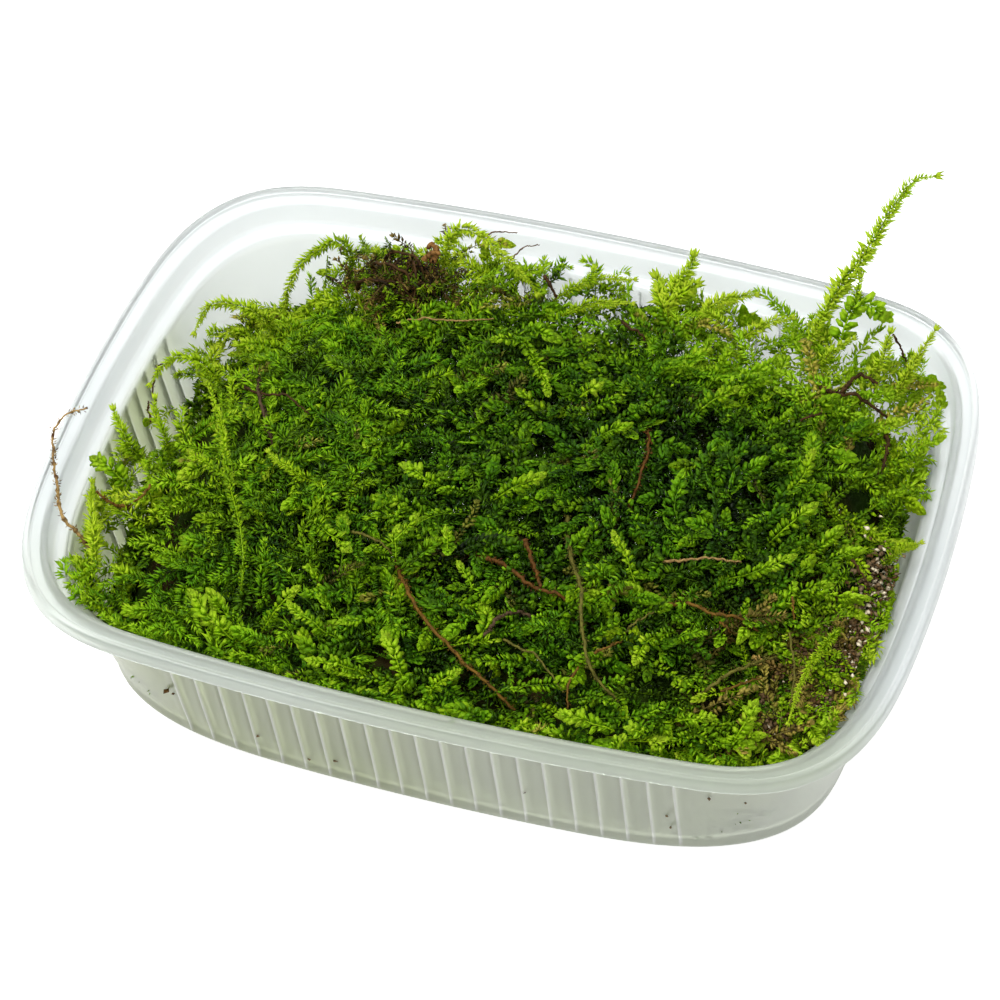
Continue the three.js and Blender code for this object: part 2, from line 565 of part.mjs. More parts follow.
// A dark lumpy ball of roots with four of them looped over it.
function rootClump(grow = 0) {
  const ball = new THREE.IcosahedronGeometry(1, 1);
  ball.deleteAttribute('normal');
  ball.deleteAttribute('uv');
  const merged = mergeVertices(ball, 1e-4);
  const position = merged.attributes.position;
  const height = moundHeight(CLUMP.x, CLUMP.y) + CLUMP.lift;
  for (let i = 0; i < position.count; i += 1) {
    const bump = grow ? 1 : 1 + 0.12 * hash(i, 3);
    position.setXYZ(
      i,
      CLUMP.x + (CLUMP.rx * bump + grow) * position.getX(i),
      CLUMP.y + (CLUMP.ry * bump + grow) * position.getY(i),
      height + (CLUMP.rz * bump + grow) * position.getZ(i),
    );
  }
  let solid = toSolid(merged);
  if (!grow) {
    for (const path of CLUMP_ROOTS) {
      solid = solid.add(toSolid(stalk(new THREE.CatmullRomCurve3(lifted(path)), 0.5, 0.8, 3, 2.4)));
    }
  }
  return solid;
}

// Litter with pale grains: an upright oval plug cut out of the heap, with a grain relief on top.
const LITTER_PATCH = { x: 42.5, y: -19.5, rx: 3.9, ry: 9.5, turn: 0.28, depth: 3 };

function litterPlug(grow, depth) {
  const outlinePoints = [];
  for (let k = 0; k < 14; k += 1) {
    const angle = (k / 14) * 2 * Math.PI;
    outlinePoints.push(new THREE.Vector2(
      (LITTER_PATCH.rx + grow) * Math.cos(angle),
      (LITTER_PATCH.ry + grow) * Math.sin(angle),
    ));
  }
  const shape = new THREE.Shape(outlinePoints);
  const plug = new THREE.ExtrudeGeometry(shape, { depth: 12, bevelEnabled: false });
  plug.rotateZ(-LITTER_PATCH.turn);
  plug.translate(LITTER_PATCH.x, LITTER_PATCH.y, moundHeight(LITTER_PATCH.x, LITTER_PATCH.y) - depth);
  return toSolid(plug);
}

function litterPatch(room) {
  const relief = reliefBlock(36, 49, -31, -8, LITTER_CELL, 10, (x, y, i, j) => (
    moundHeight(x, y) - 0.5 + 0.55 * Math.abs(hash(i, j)) ** 2
  ));
  return toSolid(relief).intersect(litterPlug(0, LITTER_PATCH.depth)).intersect(room);
}

const room = toSolid(tubRoom());

function mossHeap(cutters) {
  const block = reliefBlock(-51, 51, -38, 38, CELL, FLOOR + GAP / 2, (x, y, i, j) => (
    packedHeight(x, y) + LUMP * smoothNoise(x, y) + 0.3 * hash(i, j)
  ));
  let solid = toSolid(block).intersect(room);
  for (const cutter of cutters) {
    solid = solid.subtract(cutter);
  }
  return largest(solid);
}

function largest(solid) {
  const parts = solid.decompose();
  parts.sort((a, b) => b.volume() - a.volume());
  return parts[0];
}

// Assembly

const group = new THREE.Group();

function place(name, solid, color, roughness) {
  const material = new THREE.MeshStandardMaterial({ color, roughness, metalness: 0 });
  const mesh = new THREE.Mesh(toGeometry(solid), material);
  mesh.name = name;
  group.add(mesh);
}

place('tub', tub(), MILKY, 0.3);

const rooms = [];
for (const [name, color, half, main, branch] of SHOOTS) {
  let solid = toSolid(feather(main, half));
  rooms.push(toSolid(featherRoom(main, half)));
  if (branch) {
    solid = solid.add(toSolid(feather(branch, half)));
    rooms.push(toSolid(featherRoom(branch, half)));
  }
  if (name === 'back_arch') {
    for (const hair of HAIRS) {
      solid = solid.add(toSolid(stalk(new THREE.CatmullRomCurve3(lifted(hair)), 0.22, 0.7, 3, 2)));
    }
  }
  place(name, solid, color, 0.6);
}

for (const [name, color, radius, main, fork] of STEMS) {
  let solid = toSolid(stem(main, radius));
  rooms.push(toSolid(stemRoom(main, radius)));
  if (fork) {
    solid = solid.add(toSolid(stem(fork, radius)));
    rooms.push(toSolid(stemRoom(fork, radius)));
  }
  place(name, solid, color, 0.7);
}

place('overhanging_root', toSolid(stem(ROOT_PATH, ROOT_RADIUS, 0.45)), TAN, 0.7);
rooms.push(toSolid(stemRoom(ROOT_PATH, ROOT_RADIUS)));

place('root_clump', rootClump(), DARK_BROWN, 0.85);

let litter = litterPatch(room);
for (const cutter of rooms) litter = litter.subtract(cutter);
place('litter_patch', largest(litter), LITTER, 0.9);

const heapCutters = [...rooms, rootClump(0.95), litterPlug(GAP, LITTER_PATCH.depth + GAP)];
place('moss_heap', mossHeap(heapCutters), DEEP_GREEN, 0.75);

export default group;
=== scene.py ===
"""Looks of a shallow milky tub heaped with bogor moss.

Lengths in the lists below are millimetres in the row's frame, and become metres when a mesh is made.
"""

import bpy
import numpy as np
from mathutils import Matrix


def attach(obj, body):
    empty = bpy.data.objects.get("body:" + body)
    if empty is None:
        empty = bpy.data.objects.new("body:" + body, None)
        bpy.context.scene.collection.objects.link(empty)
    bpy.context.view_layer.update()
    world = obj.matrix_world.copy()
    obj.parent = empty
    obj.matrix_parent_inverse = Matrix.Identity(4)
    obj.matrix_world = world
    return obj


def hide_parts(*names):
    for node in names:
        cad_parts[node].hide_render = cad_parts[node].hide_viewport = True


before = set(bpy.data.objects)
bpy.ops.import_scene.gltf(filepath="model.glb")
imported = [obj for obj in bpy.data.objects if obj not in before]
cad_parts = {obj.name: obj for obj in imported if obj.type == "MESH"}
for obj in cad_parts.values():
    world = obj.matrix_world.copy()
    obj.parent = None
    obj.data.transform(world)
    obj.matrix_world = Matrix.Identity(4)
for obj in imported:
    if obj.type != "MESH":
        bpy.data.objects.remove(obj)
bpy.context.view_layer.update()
MM = 0.001
SEED = 4711

# Tub, as in the solid
LENGTH, WIDTH = 108.0, 81.2
RIM_CORNER = (21.4, 26.8)
FOOT_CORNER = (32.0, 19.2)
CORNER_POWER = 3.5
BOW_LONG, BOW_SHORT = 0.074, 0.065
RIB_PITCH, RIB_HALF, RIB_PROUD = 3.05, 0.27, 0.32
WALL_TOP = (4.5, 20.4)
FOOT = (7.3, 2.5)
# The inner face: heights, and how far in from the rim's outline it is there
INNER = ([2, 20.2, 21.2, 22, 25, 25.6, 27], [8.2, 5.3, 5.0, 3.6, 3.4, 2.4, 0.5])
# Height of the shelf inside the rim, where the heap's plan is taken
SHELF = 21.0

# Heap, as in the solid: its height at the walls, its rise to the middle and the height of its lumps, the
# half axes of its dome, its own half length and width, then its hollows, each a depth, a middle and a
# reach along x and y
EDGE_HEIGHT, CROWN, LUMP = 22.3, 4.0, 0.75
DOME = (52, 38)
HALF_LONG, HALF_WIDE = 49, 37
DIPS = [
    (10.5, -43, 29, 14, 16), (6.0, -51, 6, 7.5, 16), (3.4, -54, -19, 9, 13), (3.2, 56, -5, 9, 18),
    (3.0, 55, 20, 8, 9), (1.4, 45, -36, 13, 6),
]
# Root clump: middle along x and y, height over the heap, and half its size along x, y and z
CLUMP = (-21.5, 26.0, 1.0, 5.2, 3.4, 2.6)
# Litter patch: middle, half its width and length, and its turn
LITTER = (42.5, -19.5, 3.9, 9.5, 0.28)


def unit(v):
    """Each row scaled to length one."""
    return v / np.maximum(np.linalg.norm(v, axis=-1, keepdims=True), 1e-9)


def smooth(low, high, x):
    """0 below low, 1 above high, and a smooth step between."""
    t = np.clip((x - low) / (high - low), 0, 1)
    return t * t * (3 - 2 * t)


def heap_top(x, y):
    """Height of the heap: a dome less its hollows, each a bell."""
    rise = np.maximum(0, 1 - (x / DOME[0]) ** 2) * np.maximum(0, 1 - (y / DOME[1]) ** 2)
    z = EDGE_HEIGHT + CROWN * rise
    for depth, cx, cy, rx, ry in DIPS:
        z = z - depth * np.exp(-((x - cx) / rx) ** 2 - ((y - cy) / ry) ** 2)
    return z


def relief(x, y):
    """The dome with its lumps, the sum of three crossed waves."""
    a = np.sin(0.62 * x + 1.3) * np.cos(0.55 * y - 0.7)
    b = np.sin(0.95 * x - 0.8 * y + 2.1)
    c = np.sin(1.3 * y + 0.5 * x + 0.4)
    return heap_top(x, y) + LUMP * (0.5 * a + 0.32 * b + 0.28 * c)


def keep_inside(p, margin):
    """Points moved inwards to stay clear of the tub's inner face, and left alone above the rim."""
    z = p[..., 2]
    inset = np.interp(z, *INNER) + margin
    a, b = LENGTH / 2 - inset, WIDTH / 2 - inset
    rx, ry = RIM_CORNER[0] - inset, RIM_CORNER[1] - inset
    bow_x = 1 - BOW_SHORT * np.clip(p[..., 1] / b, -1, 1) ** 2
    bow_y = 1 - BOW_LONG * np.clip(p[..., 0] / a, -1, 1) ** 2
    x, y = np.abs(p[..., 0]) / bow_x, np.abs(p[..., 1]) / bow_y
    dx, dy = np.maximum(x - (a - rx), 0) / rx, np.maximum(y - (b - ry), 0) / ry
    reach = (dx ** CORNER_POWER + dy ** CORNER_POWER) ** (1 / CORNER_POWER)
    shrink = 1 / np.maximum(reach, 1)
    x = np.minimum(x, a - rx) + rx * dx * shrink
    y = np.minimum(y, b - ry) + ry * dy * shrink
    return np.stack([np.sign(p[..., 0]) * x * bow_x, np.sign(p[..., 1]) * y * bow_y, z], axis=-1)


def run_along(path):
    """How far along a path each of its points is."""
    return np.concatenate([[0], np.cumsum(np.linalg.norm(np.diff(path, axis=0), axis=1))])


def put(name, data, place=(0, 0, 0), axes=None):
    """An object in the scene. Cameras and lights have a place in metres and three axes."""
    thing = bpy.data.objects.new(name, data)
    if axes is not None:
        thing.matrix_world = Matrix.Translation(place) @ Matrix(np.column_stack(axes).tolist()).to_4x4()
    bpy.context.scene.collection.objects.link(thing)
    return thing


def mesh_piece(name, points, faces, tone, material, smooth_shading=False):
    """A piece from arrays: points in millimetres, faces of three or four corners, tone a colour a point."""
    mesh = bpy.data.meshes.new(name)
    faces = np.asarray(faces, dtype=np.int32)
    mesh.vertices.add(len(points))
    mesh.vertices.foreach_set("co", (np.asarray(points) * MM).astype(np.float32).ravel())
    mesh.loops.add(faces.size)
    mesh.loops.foreach_set("vertex_index", faces.ravel())
    mesh.polygons.add(len(faces))
    mesh.polygons.foreach_set("loop_start", np.arange(0, faces.size, faces.shape[1], dtype=np.int32))
    mesh.update(calc_edges=True)
    if smooth_shading:
        mesh.polygons.foreach_set("use_smooth", np.ones(len(faces), dtype=bool))
    if tone is not None:
        layer = mesh.attributes.new("tone", "FLOAT_COLOR", "POINT")
        rgba = np.concatenate([tone, np.ones((len(tone), 1))], axis=1)
        layer.data.foreach_set("color", rgba.astype(np.float32).ravel())
    mesh.materials.append(material)
    return put(name, mesh)


def dress(piece, node):
    """The piece rides on the one body, and stands for a node where one is named."""
    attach(piece, "root")
    if node:
        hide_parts(node)


def joined(parts):
    """Several (points, faces, tones) as one."""
    points, faces, tones = zip(*parts)
    starts = np.cumsum([0] + [len(p) for p in points])
    faces = np.concatenate([f + start for f, start in zip(faces, starts)])
    return np.concatenate(points), faces, np.concatenate(tones)


def add(name, parts, material, node=None, smooth_shading=False):
    """One dressed piece of several (points, faces, tones)."""
    dress(mesh_piece(name, *joined(parts), material, smooth_shading), node)


def add_moss(name, parts, green):
    """A piece of leaves that stands for the heap along with the others."""
    add(name, parts, green, "moss_heap")


def closed_rows(rows, columns):
    """Triangles of a closed skin: rows of points, each row closed round, then a point that closes the
    first row and one that closes the last."""
    k = np.arange(columns)
    n = (k + 1) % columns
    start = np.arange(rows - 1)[:, None] * columns
    a, b, c, d = start + k, start + n, start + columns + n, start + columns + k
    skin = np.concatenate([np.stack([a, b, c], -1), np.stack([a, c, d], -1)]).reshape(-1, 3)
    end = rows * columns
    first = np.stack([np.full(columns, end), n, k], 1)
    last = np.stack([end - columns + k, end - columns + n, np.full(columns, end + 1)], 1)
    return np.concatenate([skin, first, last])


def copies(faces, count, corners):
    """One shape's faces for count shapes of so many corners each."""
    return (faces[None] + (np.arange(count) * corners)[:, None, None]).reshape(-1, 3)


# Shaders

class Value:
    """A number that a node gives, with the usual arithmetic."""

    def __init__(self, tree, socket):
        self.tree, self.socket = tree, socket

    def __add__(self, other):
        return self.tree.maths("ADD", self, other)

    def __sub__(self, other):
        return self.tree.maths("SUBTRACT", self, other)

    def __rsub__(self, other):
        return self.tree.maths("SUBTRACT", other, self)

    def __mul__(self, other):
        return self.tree.maths("MULTIPLY", self, other)

    __radd__ = __add__
    __rmul__ = __mul__


class Tree:
    """A material's nodes."""

    def __init__(self, name):
        self.material = bpy.data.materials.new(name)
        self.material.use_nodes = True
        self.nodes = self.material.node_tree.nodes
        self.links = self.material.node_tree.links
        self.nodes.clear()

    def node(self, kind, settings, sockets):
        """A node with its settings, then its sockets by name or number: a constant or what feeds it."""
        node = self.nodes.new(kind)
        for key, value in (settings or {}).items():
            setattr(node, key, value)
        for key, value in (sockets or {}).items():
            if isinstance(value, Value):
                self.links.new(value.socket, node.inputs[key])
            else:
                node.inputs[key].default_value = value
        return node

    def out(self, kind, output, settings=None, sockets=None):
        """What a node gives."""
        return Value(self, self.node(kind, settings, sockets).outputs[output])

    def maths(self, operation, a, b, clamp=False):
        """What an operation makes of two numbers, held from 0 to 1 where clamp is set."""
        return self.out("ShaderNodeMath", 0, {"operation": operation, "use_clamp": clamp}, {0: a, 1: b})

    def above(self, value, low, gain):
        """How far a value is above low, times gain, held from 0 to 1."""
        return self.maths("MULTIPLY", self.maths("SUBTRACT", value, low, True), gain, True)

    def mix(self, factor, a, b):
        """Colour a, going to b as factor goes to 1."""
        a = a if isinstance(a, Value) else (*a, 1.0)
        b = b if isinstance(b, Value) else (*b, 1.0)
        return self.out("ShaderNodeMix", 2, {"data_type": "RGBA"}, {0: factor, 6: a, 7: b})

    def noise(self, scale, detail, stretch=(1, 1, 1)):
        """Soft noise, scale being its frequency a metre."""
        place = self.out("ShaderNodeTexCoord", "Object")
        moved = self.out("ShaderNodeMapping", 0, None, {"Vector": place, "Scale": stretch})
        return self.out("ShaderNodeTexNoise", 0, None, {"Vector": moved, "Scale": scale, "Detail": detail})

    def ramp(self, value, stops):
        """A colour ramp through stops, each (place, colour)."""
        node = self.node("ShaderNodeValToRGB", None, {0: value})
        elements = node.color_ramp.elements
        while len(elements) < len(stops):
            elements.new(0.5)
        for element, (place, colour) in zip(elements, stops):
            element.position = place
            element.color = (*colour, 1.0)
        return Value(self, node.outputs[0])

    def tone(self):
        """The three numbers that a piece carries at each point."""
        colour = self.out("ShaderNodeAttribute", "Color", {"attribute_name": "tone"})
        split = self.node("ShaderNodeSeparateColor", None, {0: colour})
        return [Value(self, split.outputs[k]) for k in range(3)]

    def finish(self, sockets, glow=None, share=0.0):
        """The surface of these sockets. With a glow colour, light also comes through it, by its share."""
        shader = self.out("ShaderNodeBsdfPrincipled", 0, None, sockets)
        if glow:
            through = self.out("ShaderNodeBsdfTranslucent", 0, None, {"Color": (*glow, 1.0)})
            shader = self.out("ShaderNodeMixShader", 0, None, {0: share, 1: shader, 2: through})
        self.node("ShaderNodeOutputMaterial", None, {"Surface": shader})
        return self.material

    def dull(self, colour, grain, rough, shine, bump):
        """A dull grainy surface. rough is its least roughness and what the grain adds to it, and bump is
        the strength and the depth of the grain."""
        height = {"Height": grain, "Strength": bump[0], "Distance": bump[1]}
        return self.finish({
            "Base Color": colour,
            "Roughness": rough[0] + rough[1] * grain,
            "Specular IOR Level": shine,
            "Normal": self.out("ShaderNodeBump", 0, None, height),
        })


def milky_plastic():
    """Thin milky plastic, mostly see-through and faintly clouded. The first tone is 1 on the ribs, which
    are whiter, the second is 1 where moss lies against the front and left walls, whose shaded olive is
    painted into the wall as painted shade, and the third is 1 along the rim's edges and creases and over
    the front of the rim, painted shade that darkens it."""
    t = Tree("milky_plastic")
    rib, painted_moss_shade, edge = t.tone()
    cloud = t.noise(70.0, 3.0)
    streak = t.noise(260.0, 3.0, (1, 1, 0.2))
    colour = t.mix(cloud, (0.745, 0.78, 0.775), (0.79, 0.82, 0.815))
    # The olive of the moss behind the wall in shade, painted into the plastic as painted shade
    moss = t.mix(0.6 * cloud + 0.4 * streak, (0.45, 0.505, 0.31), (0.61, 0.66, 0.44))
    colour = t.mix(painted_moss_shade, colour, moss)
    # Painted shade along the rim's edges and creases and over the front of the rim
    colour = t.mix(0.5 * edge, colour, (0.60, 0.65, 0.65))
    colour = t.mix(rib, colour, (0.98, 0.99, 0.97))
    return t.finish({
        "Base Color": colour,
        "Roughness": 0.28 + 0.05 * cloud,
        "IOR": 1.45,
        "Transmission Weight": 0.76,
    })


def moss_green():
    """Leaves from dark feet to bright tips, thin enough for light to come through. The first tone is
    lightness, which holds painted light and painted shade: high where light comes through the tips and
    the heap's loose edges, low at the feet and deep in the heap. The second runs from bluish to
    yellowish green, and the third is how brown the leaf is."""
    t = Tree("moss_green")
    light, hue, brown = t.tone()
    grain = t.noise(2500.0, 2.0)
    light = light + 0.22 * (grain - 0.5)
    cool = t.ramp(light, [
        (0.0, (0.002, 0.007, 0.001)), (0.3, (0.020, 0.070, 0.002)),
        (0.6, (0.090, 0.270, 0.004)), (0.82, (0.27, 0.57, 0.008)), (1.0, (0.44, 0.82, 0.022)),
    ])
    warm = t.ramp(light, [
        (0.0, (0.007, 0.011, 0.001)), (0.3, (0.060, 0.110, 0.002)),
        (0.6, (0.230, 0.390, 0.004)), (0.82, (0.50, 0.70, 0.008)), (1.0, (0.84, 0.96, 0.06)),
    ])
    dead = t.ramp(light, [
        (0.0, (0.008, 0.004, 0.002)), (0.5, (0.080, 0.038, 0.010)), (1.0, (0.34, 0.19, 0.06)),
    ])
    sockets = {
        "Base Color": t.mix(brown, t.mix(hue, cool, warm), dead),
        "Roughness": 0.28 + 0.2 * grain,
        "Specular IOR Level": 0.16,
    }
    through = t.maths("MULTIPLY", 0.04 + 0.5 * light, 1.0 - brown, True)
    return t.finish(sockets, (0.56, 0.76, 0.02), through)


def bark(name, dark, light):
    """A bare stem: streaks along it and darker joints."""
    t = Tree(name)
    tone, _, _ = t.tone()
    streak = t.noise(1400.0, 4.0)
    colour = t.mix(t.maths("ADD", 0.9 * streak - 0.35, 0.75 * tone, True), dark, light)
    colour = t.mix(t.above(t.noise(420.0, 2.0), 0.55, 2.2), colour, dark)
    return t.dull(colour, streak, (0.5, 0.25), 0.12, (0.7, 0.0003))


def water():
    """Clear water, faintly clouded."""
    t = Tree("water")
    cloud = t.noise(900.0, 2.0)
    return t.finish({
        "Base Color": t.mix(cloud, (0.90, 0.95, 0.92), (1.0, 1.0, 1.0)),
        "Roughness": 0.03,
        "IOR": 1.33,
        "Transmission Weight": 1.0,
    })


def peat():
    """The dark tangle under the moss: brown and deep green fibres, near black, that also paint the
    shade deep in the heap.
    """
    t = Tree("peat")
    fibre = t.noise(700.0, 6.0)
    brown = t.mix(fibre, (0.005, 0.003, 0.001), (0.035, 0.022, 0.005))
    green = t.mix(fibre, (0.003, 0.008, 0.001), (0.030, 0.065, 0.004))
    colour = t.mix(t.above(t.noise(140.0, 3.0), 0.38, 5.0), brown, green)
    return t.dull(colour, fibre, (0.7, 0.2), 0.05, (0.9, 0.0008))


def litter_stuff():
    """Crumbs of dead leaf and peat among pale grains. The first tone is how pale a crumb is."""
    t = Tree("litter")
    pale, _, _ = t.tone()
    fleck = t.noise(1600.0, 4.0)
    dull = t.mix(fleck, (0.012, 0.006, 0.002), (0.15, 0.070, 0.012))
    bright = t.mix(fleck, (0.40, 0.32, 0.17), (0.85, 0.78, 0.60))
    return t.dull(t.mix(pale, dull, bright), fleck, (0.6, 0.3), 0.15, (0.5, 0.0002))


# Tub: steps of the outline's corner and of its straights, and the grid's columns round a corner
CORNER_STEPS, SIDE_STEPS, CORNER_COLUMNS = 240, 60, 44


def quadrant(inset, deep):
    """The outline from +X to +Y as close points: straight, superellipse corner, straight, then bowed."""
    a, b = LENGTH / 2 - inset, WIDTH / 2 - inset
    rx = (RIM_CORNER[0] - inset) * (1 - deep) + FOOT_CORNER[0] * deep
    ry = (RIM_CORNER[1] - inset) * (1 - deep) + FOOT_CORNER[1] * deep
    th = np.linspace(0, np.pi / 2, CORNER_STEPS + 1)
    cx = a - rx + rx * np.cos(th) ** (2 / CORNER_POWER)
    cy = b - ry + ry * np.sin(th) ** (2 / CORNER_POWER)
    cx[-1] = a - rx
    side_y = np.linspace(0, b - ry, SIDE_STEPS + 1)[:-1]
    side_x = np.linspace(a - rx, 0, SIDE_STEPS + 1)[1:]
    x = np.concatenate([np.full(SIDE_STEPS, a), cx, side_x])
    y = np.concatenate([side_y, cy, np.full(SIDE_STEPS, b)])
    return x * (1 - BOW_SHORT * (y / b) ** 2), y * (1 - BOW_LONG * (x / a) ** 2)


def rib_columns(count, reach):
    """Places of the grid's columns from 0 to reach, closer over each rib, and the ribs' height there."""
    steps = np.array([-RIB_HALF, -0.55 * RIB_HALF, 0, 0.55 * RIB_HALF, RIB_HALF, 0.5 * RIB_PITCH])
    places = (np.arange(count)[:, None] * RIB_PITCH + steps).ravel()
    heights = np.tile([0, 0.8, 1, 0.8, 0, 0], count)
    places[-1] = reach
    return places[places >= 0], heights[places >= 0]


LONG_PLACES, LONG_RIBS = rib_columns(11, 32.2)
SHORT_PLACES, SHORT_RIBS = rib_columns(5, 13.8)


def ring(inset, z, deep, proud):
    """One closed row of the tub's grid: x, y, z and the share of a rib at each point. proud is how far
    the ribs stand out there."""
    x, y = quadrant(inset, deep)
    run = run_along(np.column_stack([x, y]))
    short_x = np.interp(SHORT_PLACES, y, x) + proud * SHORT_RIBS
    long_y = np.interp(LONG_PLACES, x[::-1], y[::-1]) + proud * LONG_RIBS
    low = np.interp(SHORT_PLACES[-1], y, run)
    high = np.interp(-LONG_PLACES[-1], -x[SIDE_STEPS:], run[SIDE_STEPS:])
    at = np.linspace(low, high, CORNER_COLUMNS + 2)[1:-1]
    corner = np.column_stack([np.interp(at, run, x), np.interp(at, run, y), 0 * at])
    first = np.column_stack([short_x, SHORT_PLACES, SHORT_RIBS])
    last = np.column_stack([LONG_PLACES, long_y, LONG_RIBS])[::-1]
    quarter = np.concatenate([first, corner, last])
    half = np.concatenate([quarter, quarter[-2::-1] * (-1, 1, 1)])
    whole = np.concatenate([half, half[-2:0:-1] * (1, -1, 1)])
    share = whole[:, 2] ** 2 * (proud / RIB_PROUD)
    return np.column_stack([whole[:, :2], np.full(len(whole), z), share])


# The tub's section from the middle of its underside, out, up, over the rim and back down inside. Each
# stop is (inset, z, rounding).
SECTION = [
    (9.8, 0.0, 0), (7.35, 0.0, 2.5), (FOOT[0] - 0.02, 2.6, 1.5), (WALL_TOP[0], WALL_TOP[1], 0.4),
    (4.0, 20.75, 0.3), (2.8, 21.2, 0.5), (2.2, 23.9, 0.4), (0.75, 23.9, 0.3), (0.7, 23.1, 0.2),
    (0.02, 23.1, 0.35), (0.02, 24.3, 0.5), (0.3, 25.0, 0.25), (0.8, 25.0, 0.15), (1.05, 24.62, 0.12),
    (1.5, 24.66, 0.2), (2.45, 24.74, 0.2), (2.95, 24.45, 0.25), (3.3, 22.0, 0.3), (3.6, 21.45, 0.15),
    (4.8, 21.2, 0.2), (5.2, 20.2, 0.3), (8.0, 2.6, 1.2), (9.4, 0.8, 1.6), (12.0, 0.8, 0),
]
LONGEST_STEP = 3.2

# Edges and creases of the rim with painted shade: inset, height and how dark
SHADED_EDGES = [(1.08, 24.62, 1.0), (3.0, 24.3, 0.8), (3.5, 21.6, 0.7), (4.9, 21.0, 0.6)]


def rounded(stops):
    """The section with each corner replaced by a short parabola of five points."""
    corners = [np.array(stop[:2], float) for stop in stops]
    points = [corners[0]]
    for p, q, r, (_, _, rounding) in zip(corners, corners[1:], corners[2:], stops[1:]):
        start = q + (p - q) * min(0.48, rounding / np.linalg.norm(p - q))
        stop = q + (r - q) * min(0.48, rounding / np.linalg.norm(r - q))
        t = np.linspace(0, 1, 5)[:, None]
        points += list((1 - t) ** 2 * start + 2 * t * (1 - t) * q + t * t * stop)
    return points + [corners[-1]]


def section_points():
    """The rounded section with further stops on its long straight stretches."""
    stops = rounded(SECTION)
    filled = []
    for p, q in zip(stops, stops[1:]):
        steps = int(np.hypot(*(q - p)) // LONGEST_STEP)
        filled += [p + (q - p) * k / (steps + 1) for k in range(steps + 1)]
    return filled + [stops[-1]]


def tub(material):
    """The tub as one closed skin: the outline carried along the section, with ribs on the body wall. Its
    tones are the ribs and the skirt's lip, the shaded moss that shows through the front and the left,
    painted in as painted shade, and painted shade on the rim's edges and over the front of the rim."""
    stops = section_points()
    turn = int(np.argmax([z for _, z in stops]))
    rings = []
    for k, (inset, z) in enumerate(stops):
        deep = float(np.clip((WALL_TOP[1] - z) / (WALL_TOP[1] - FOOT[1]), 0, 1))
        proud = RIB_PROUD * smooth(0.5, 2.4, z) * smooth(20.3, 19.6, z) if k < turn else 0.0
        row = ring(inset, z, deep, float(proud))
        x, y, _, rib = row.T
        lip = 0.8 * np.exp(-((z - 23.15) / 0.2) ** 2) * (inset < 0.4)
        # Painted shade of the moss seen through the wall: full on the front and left walls below the shelf,
        # less at the back and the right, and 0.4 to 0.7 over the whole front, rim included
        unshaded = np.maximum(0.9 * smooth(4, 20, y) * smooth(4, 12, z), 0.5 * smooth(-12, 22, x))
        front_shade = (0.4 + 0.3 * smooth(-15, 5, x)) * smooth(-18, -34, y)
        painted_moss_shade = np.maximum((1 - unshaded) * smooth(20.9, 20.2, z), front_shade)
        # Painted shade along the rim's edges and creases, and over the front half of the rim and skirt
        near = max(share * np.exp(-((inset - i) ** 2 + (z - h) ** 2) / 0.06) for i, h, share in SHADED_EDGES)
        edge = np.maximum(near, 0.9 * smooth(15, -5, y) * (z > 22.9))
        rings.append(np.column_stack([row[:, :3], np.maximum(rib, lip), painted_moss_shade, edge]))
    middles = [[0, 0, 0, 0, 1, 0], [0, 0, stops[-1][1], 0, 1, 0]]
    grid = np.concatenate(rings + [middles])
    part = (grid[:, :3], closed_rows(len(rings), len(rings[0])), grid[:, 3:])
    add("tub_skin", [part], material, "tub", True)


# Leafy shoots

def frames(paths, facing):
    """Along, across and out of each shoot's flat side, at each station."""
    along = unit(np.gradient(paths, axis=1))
    across = unit(np.cross(along, facing[:, None, :]))
    return along, across, np.cross(across, along)


def at_share(values, share):
    """Values of each path at shares of its run, by straight steps between stations."""
    stations = values.shape[1]
    place = np.clip(share, 0, 1) * (stations - 1)
    low = np.minimum(place.astype(int), stations - 2)
    part = (place - low)[..., None]
    rows = np.arange(len(values))[:, None]
    return values[rows, low] * (1 - part) + values[rows, low + 1] * part


def tubes(paths, radii, facing, sides, tone):
    """Closed tubes along paths. radii has one number a station, and tone three."""
    count, stations = paths.shape[:2]
    _, across, out = frames(paths, facing)
    angle = np.arange(sides)[:, None] * 2 * np.pi / sides
    circle = np.cos(angle) * out[:, :, None] + np.sin(angle) * across[:, :, None]
    rings = paths[:, :, None] + radii[:, :, None, None] * circle
    points = np.concatenate([rings.reshape(count, -1, 3), paths[:, [0, -1]]], axis=1)
    tones = np.concatenate([np.repeat(tone, sides, axis=1), tone[:, [0, -1]]], axis=1)
    faces = copies(closed_rows(stations, sides), count, points.shape[1])
    return points.reshape(-1, 3), faces, tones.reshape(-1, 3)


# A leaf's corners as shares of its length, its width and its depth, and its faces. The slim leaf is a
# folded sliver with a hollow upper side, the blunt one is a boat with a square end, and the broad one
# is a lens.
SLIM_LEAF = (
    np.array([[0.0, 0.0, 0.0], [0.40, -0.5, 0.14], [0.40, 0.5, 0.14], [1.0, 0.0, 0.08]]),
    np.array([[0, 1, 3], [0, 3, 2], [0, 2, 1], [1, 2, 3]]),
)
BLUNT_LEAF = (
    np.array([
        [0.0, 0.0, 0.0], [0.42, -0.5, 0.14], [0.42, 0.5, 0.14], [0.95, -0.25, 0.1], [0.95, 0.25, 0.1],
    ]),
    np.array([[0, 1, 2], [1, 3, 4], [1, 4, 2], [0, 3, 1], [0, 4, 3], [0, 2, 4]]),
)
BROAD_LEAF = (
    np.array([
        [0.0, 0.0, 0.0], [0.30, -0.46, -0.08], [0.72, -0.38, -0.08], [1.0, 0.0, -0.04],
        [0.72, 0.38, -0.08], [0.30, 0.46, -0.08],
    ]),
    np.array([
        [0, 1, 2], [0, 2, 3], [0, 3, 4], [0, 4, 5], [0, 5, 1], [1, 4, 2], [1, 5, 4], [2, 4, 3],
    ]),
)


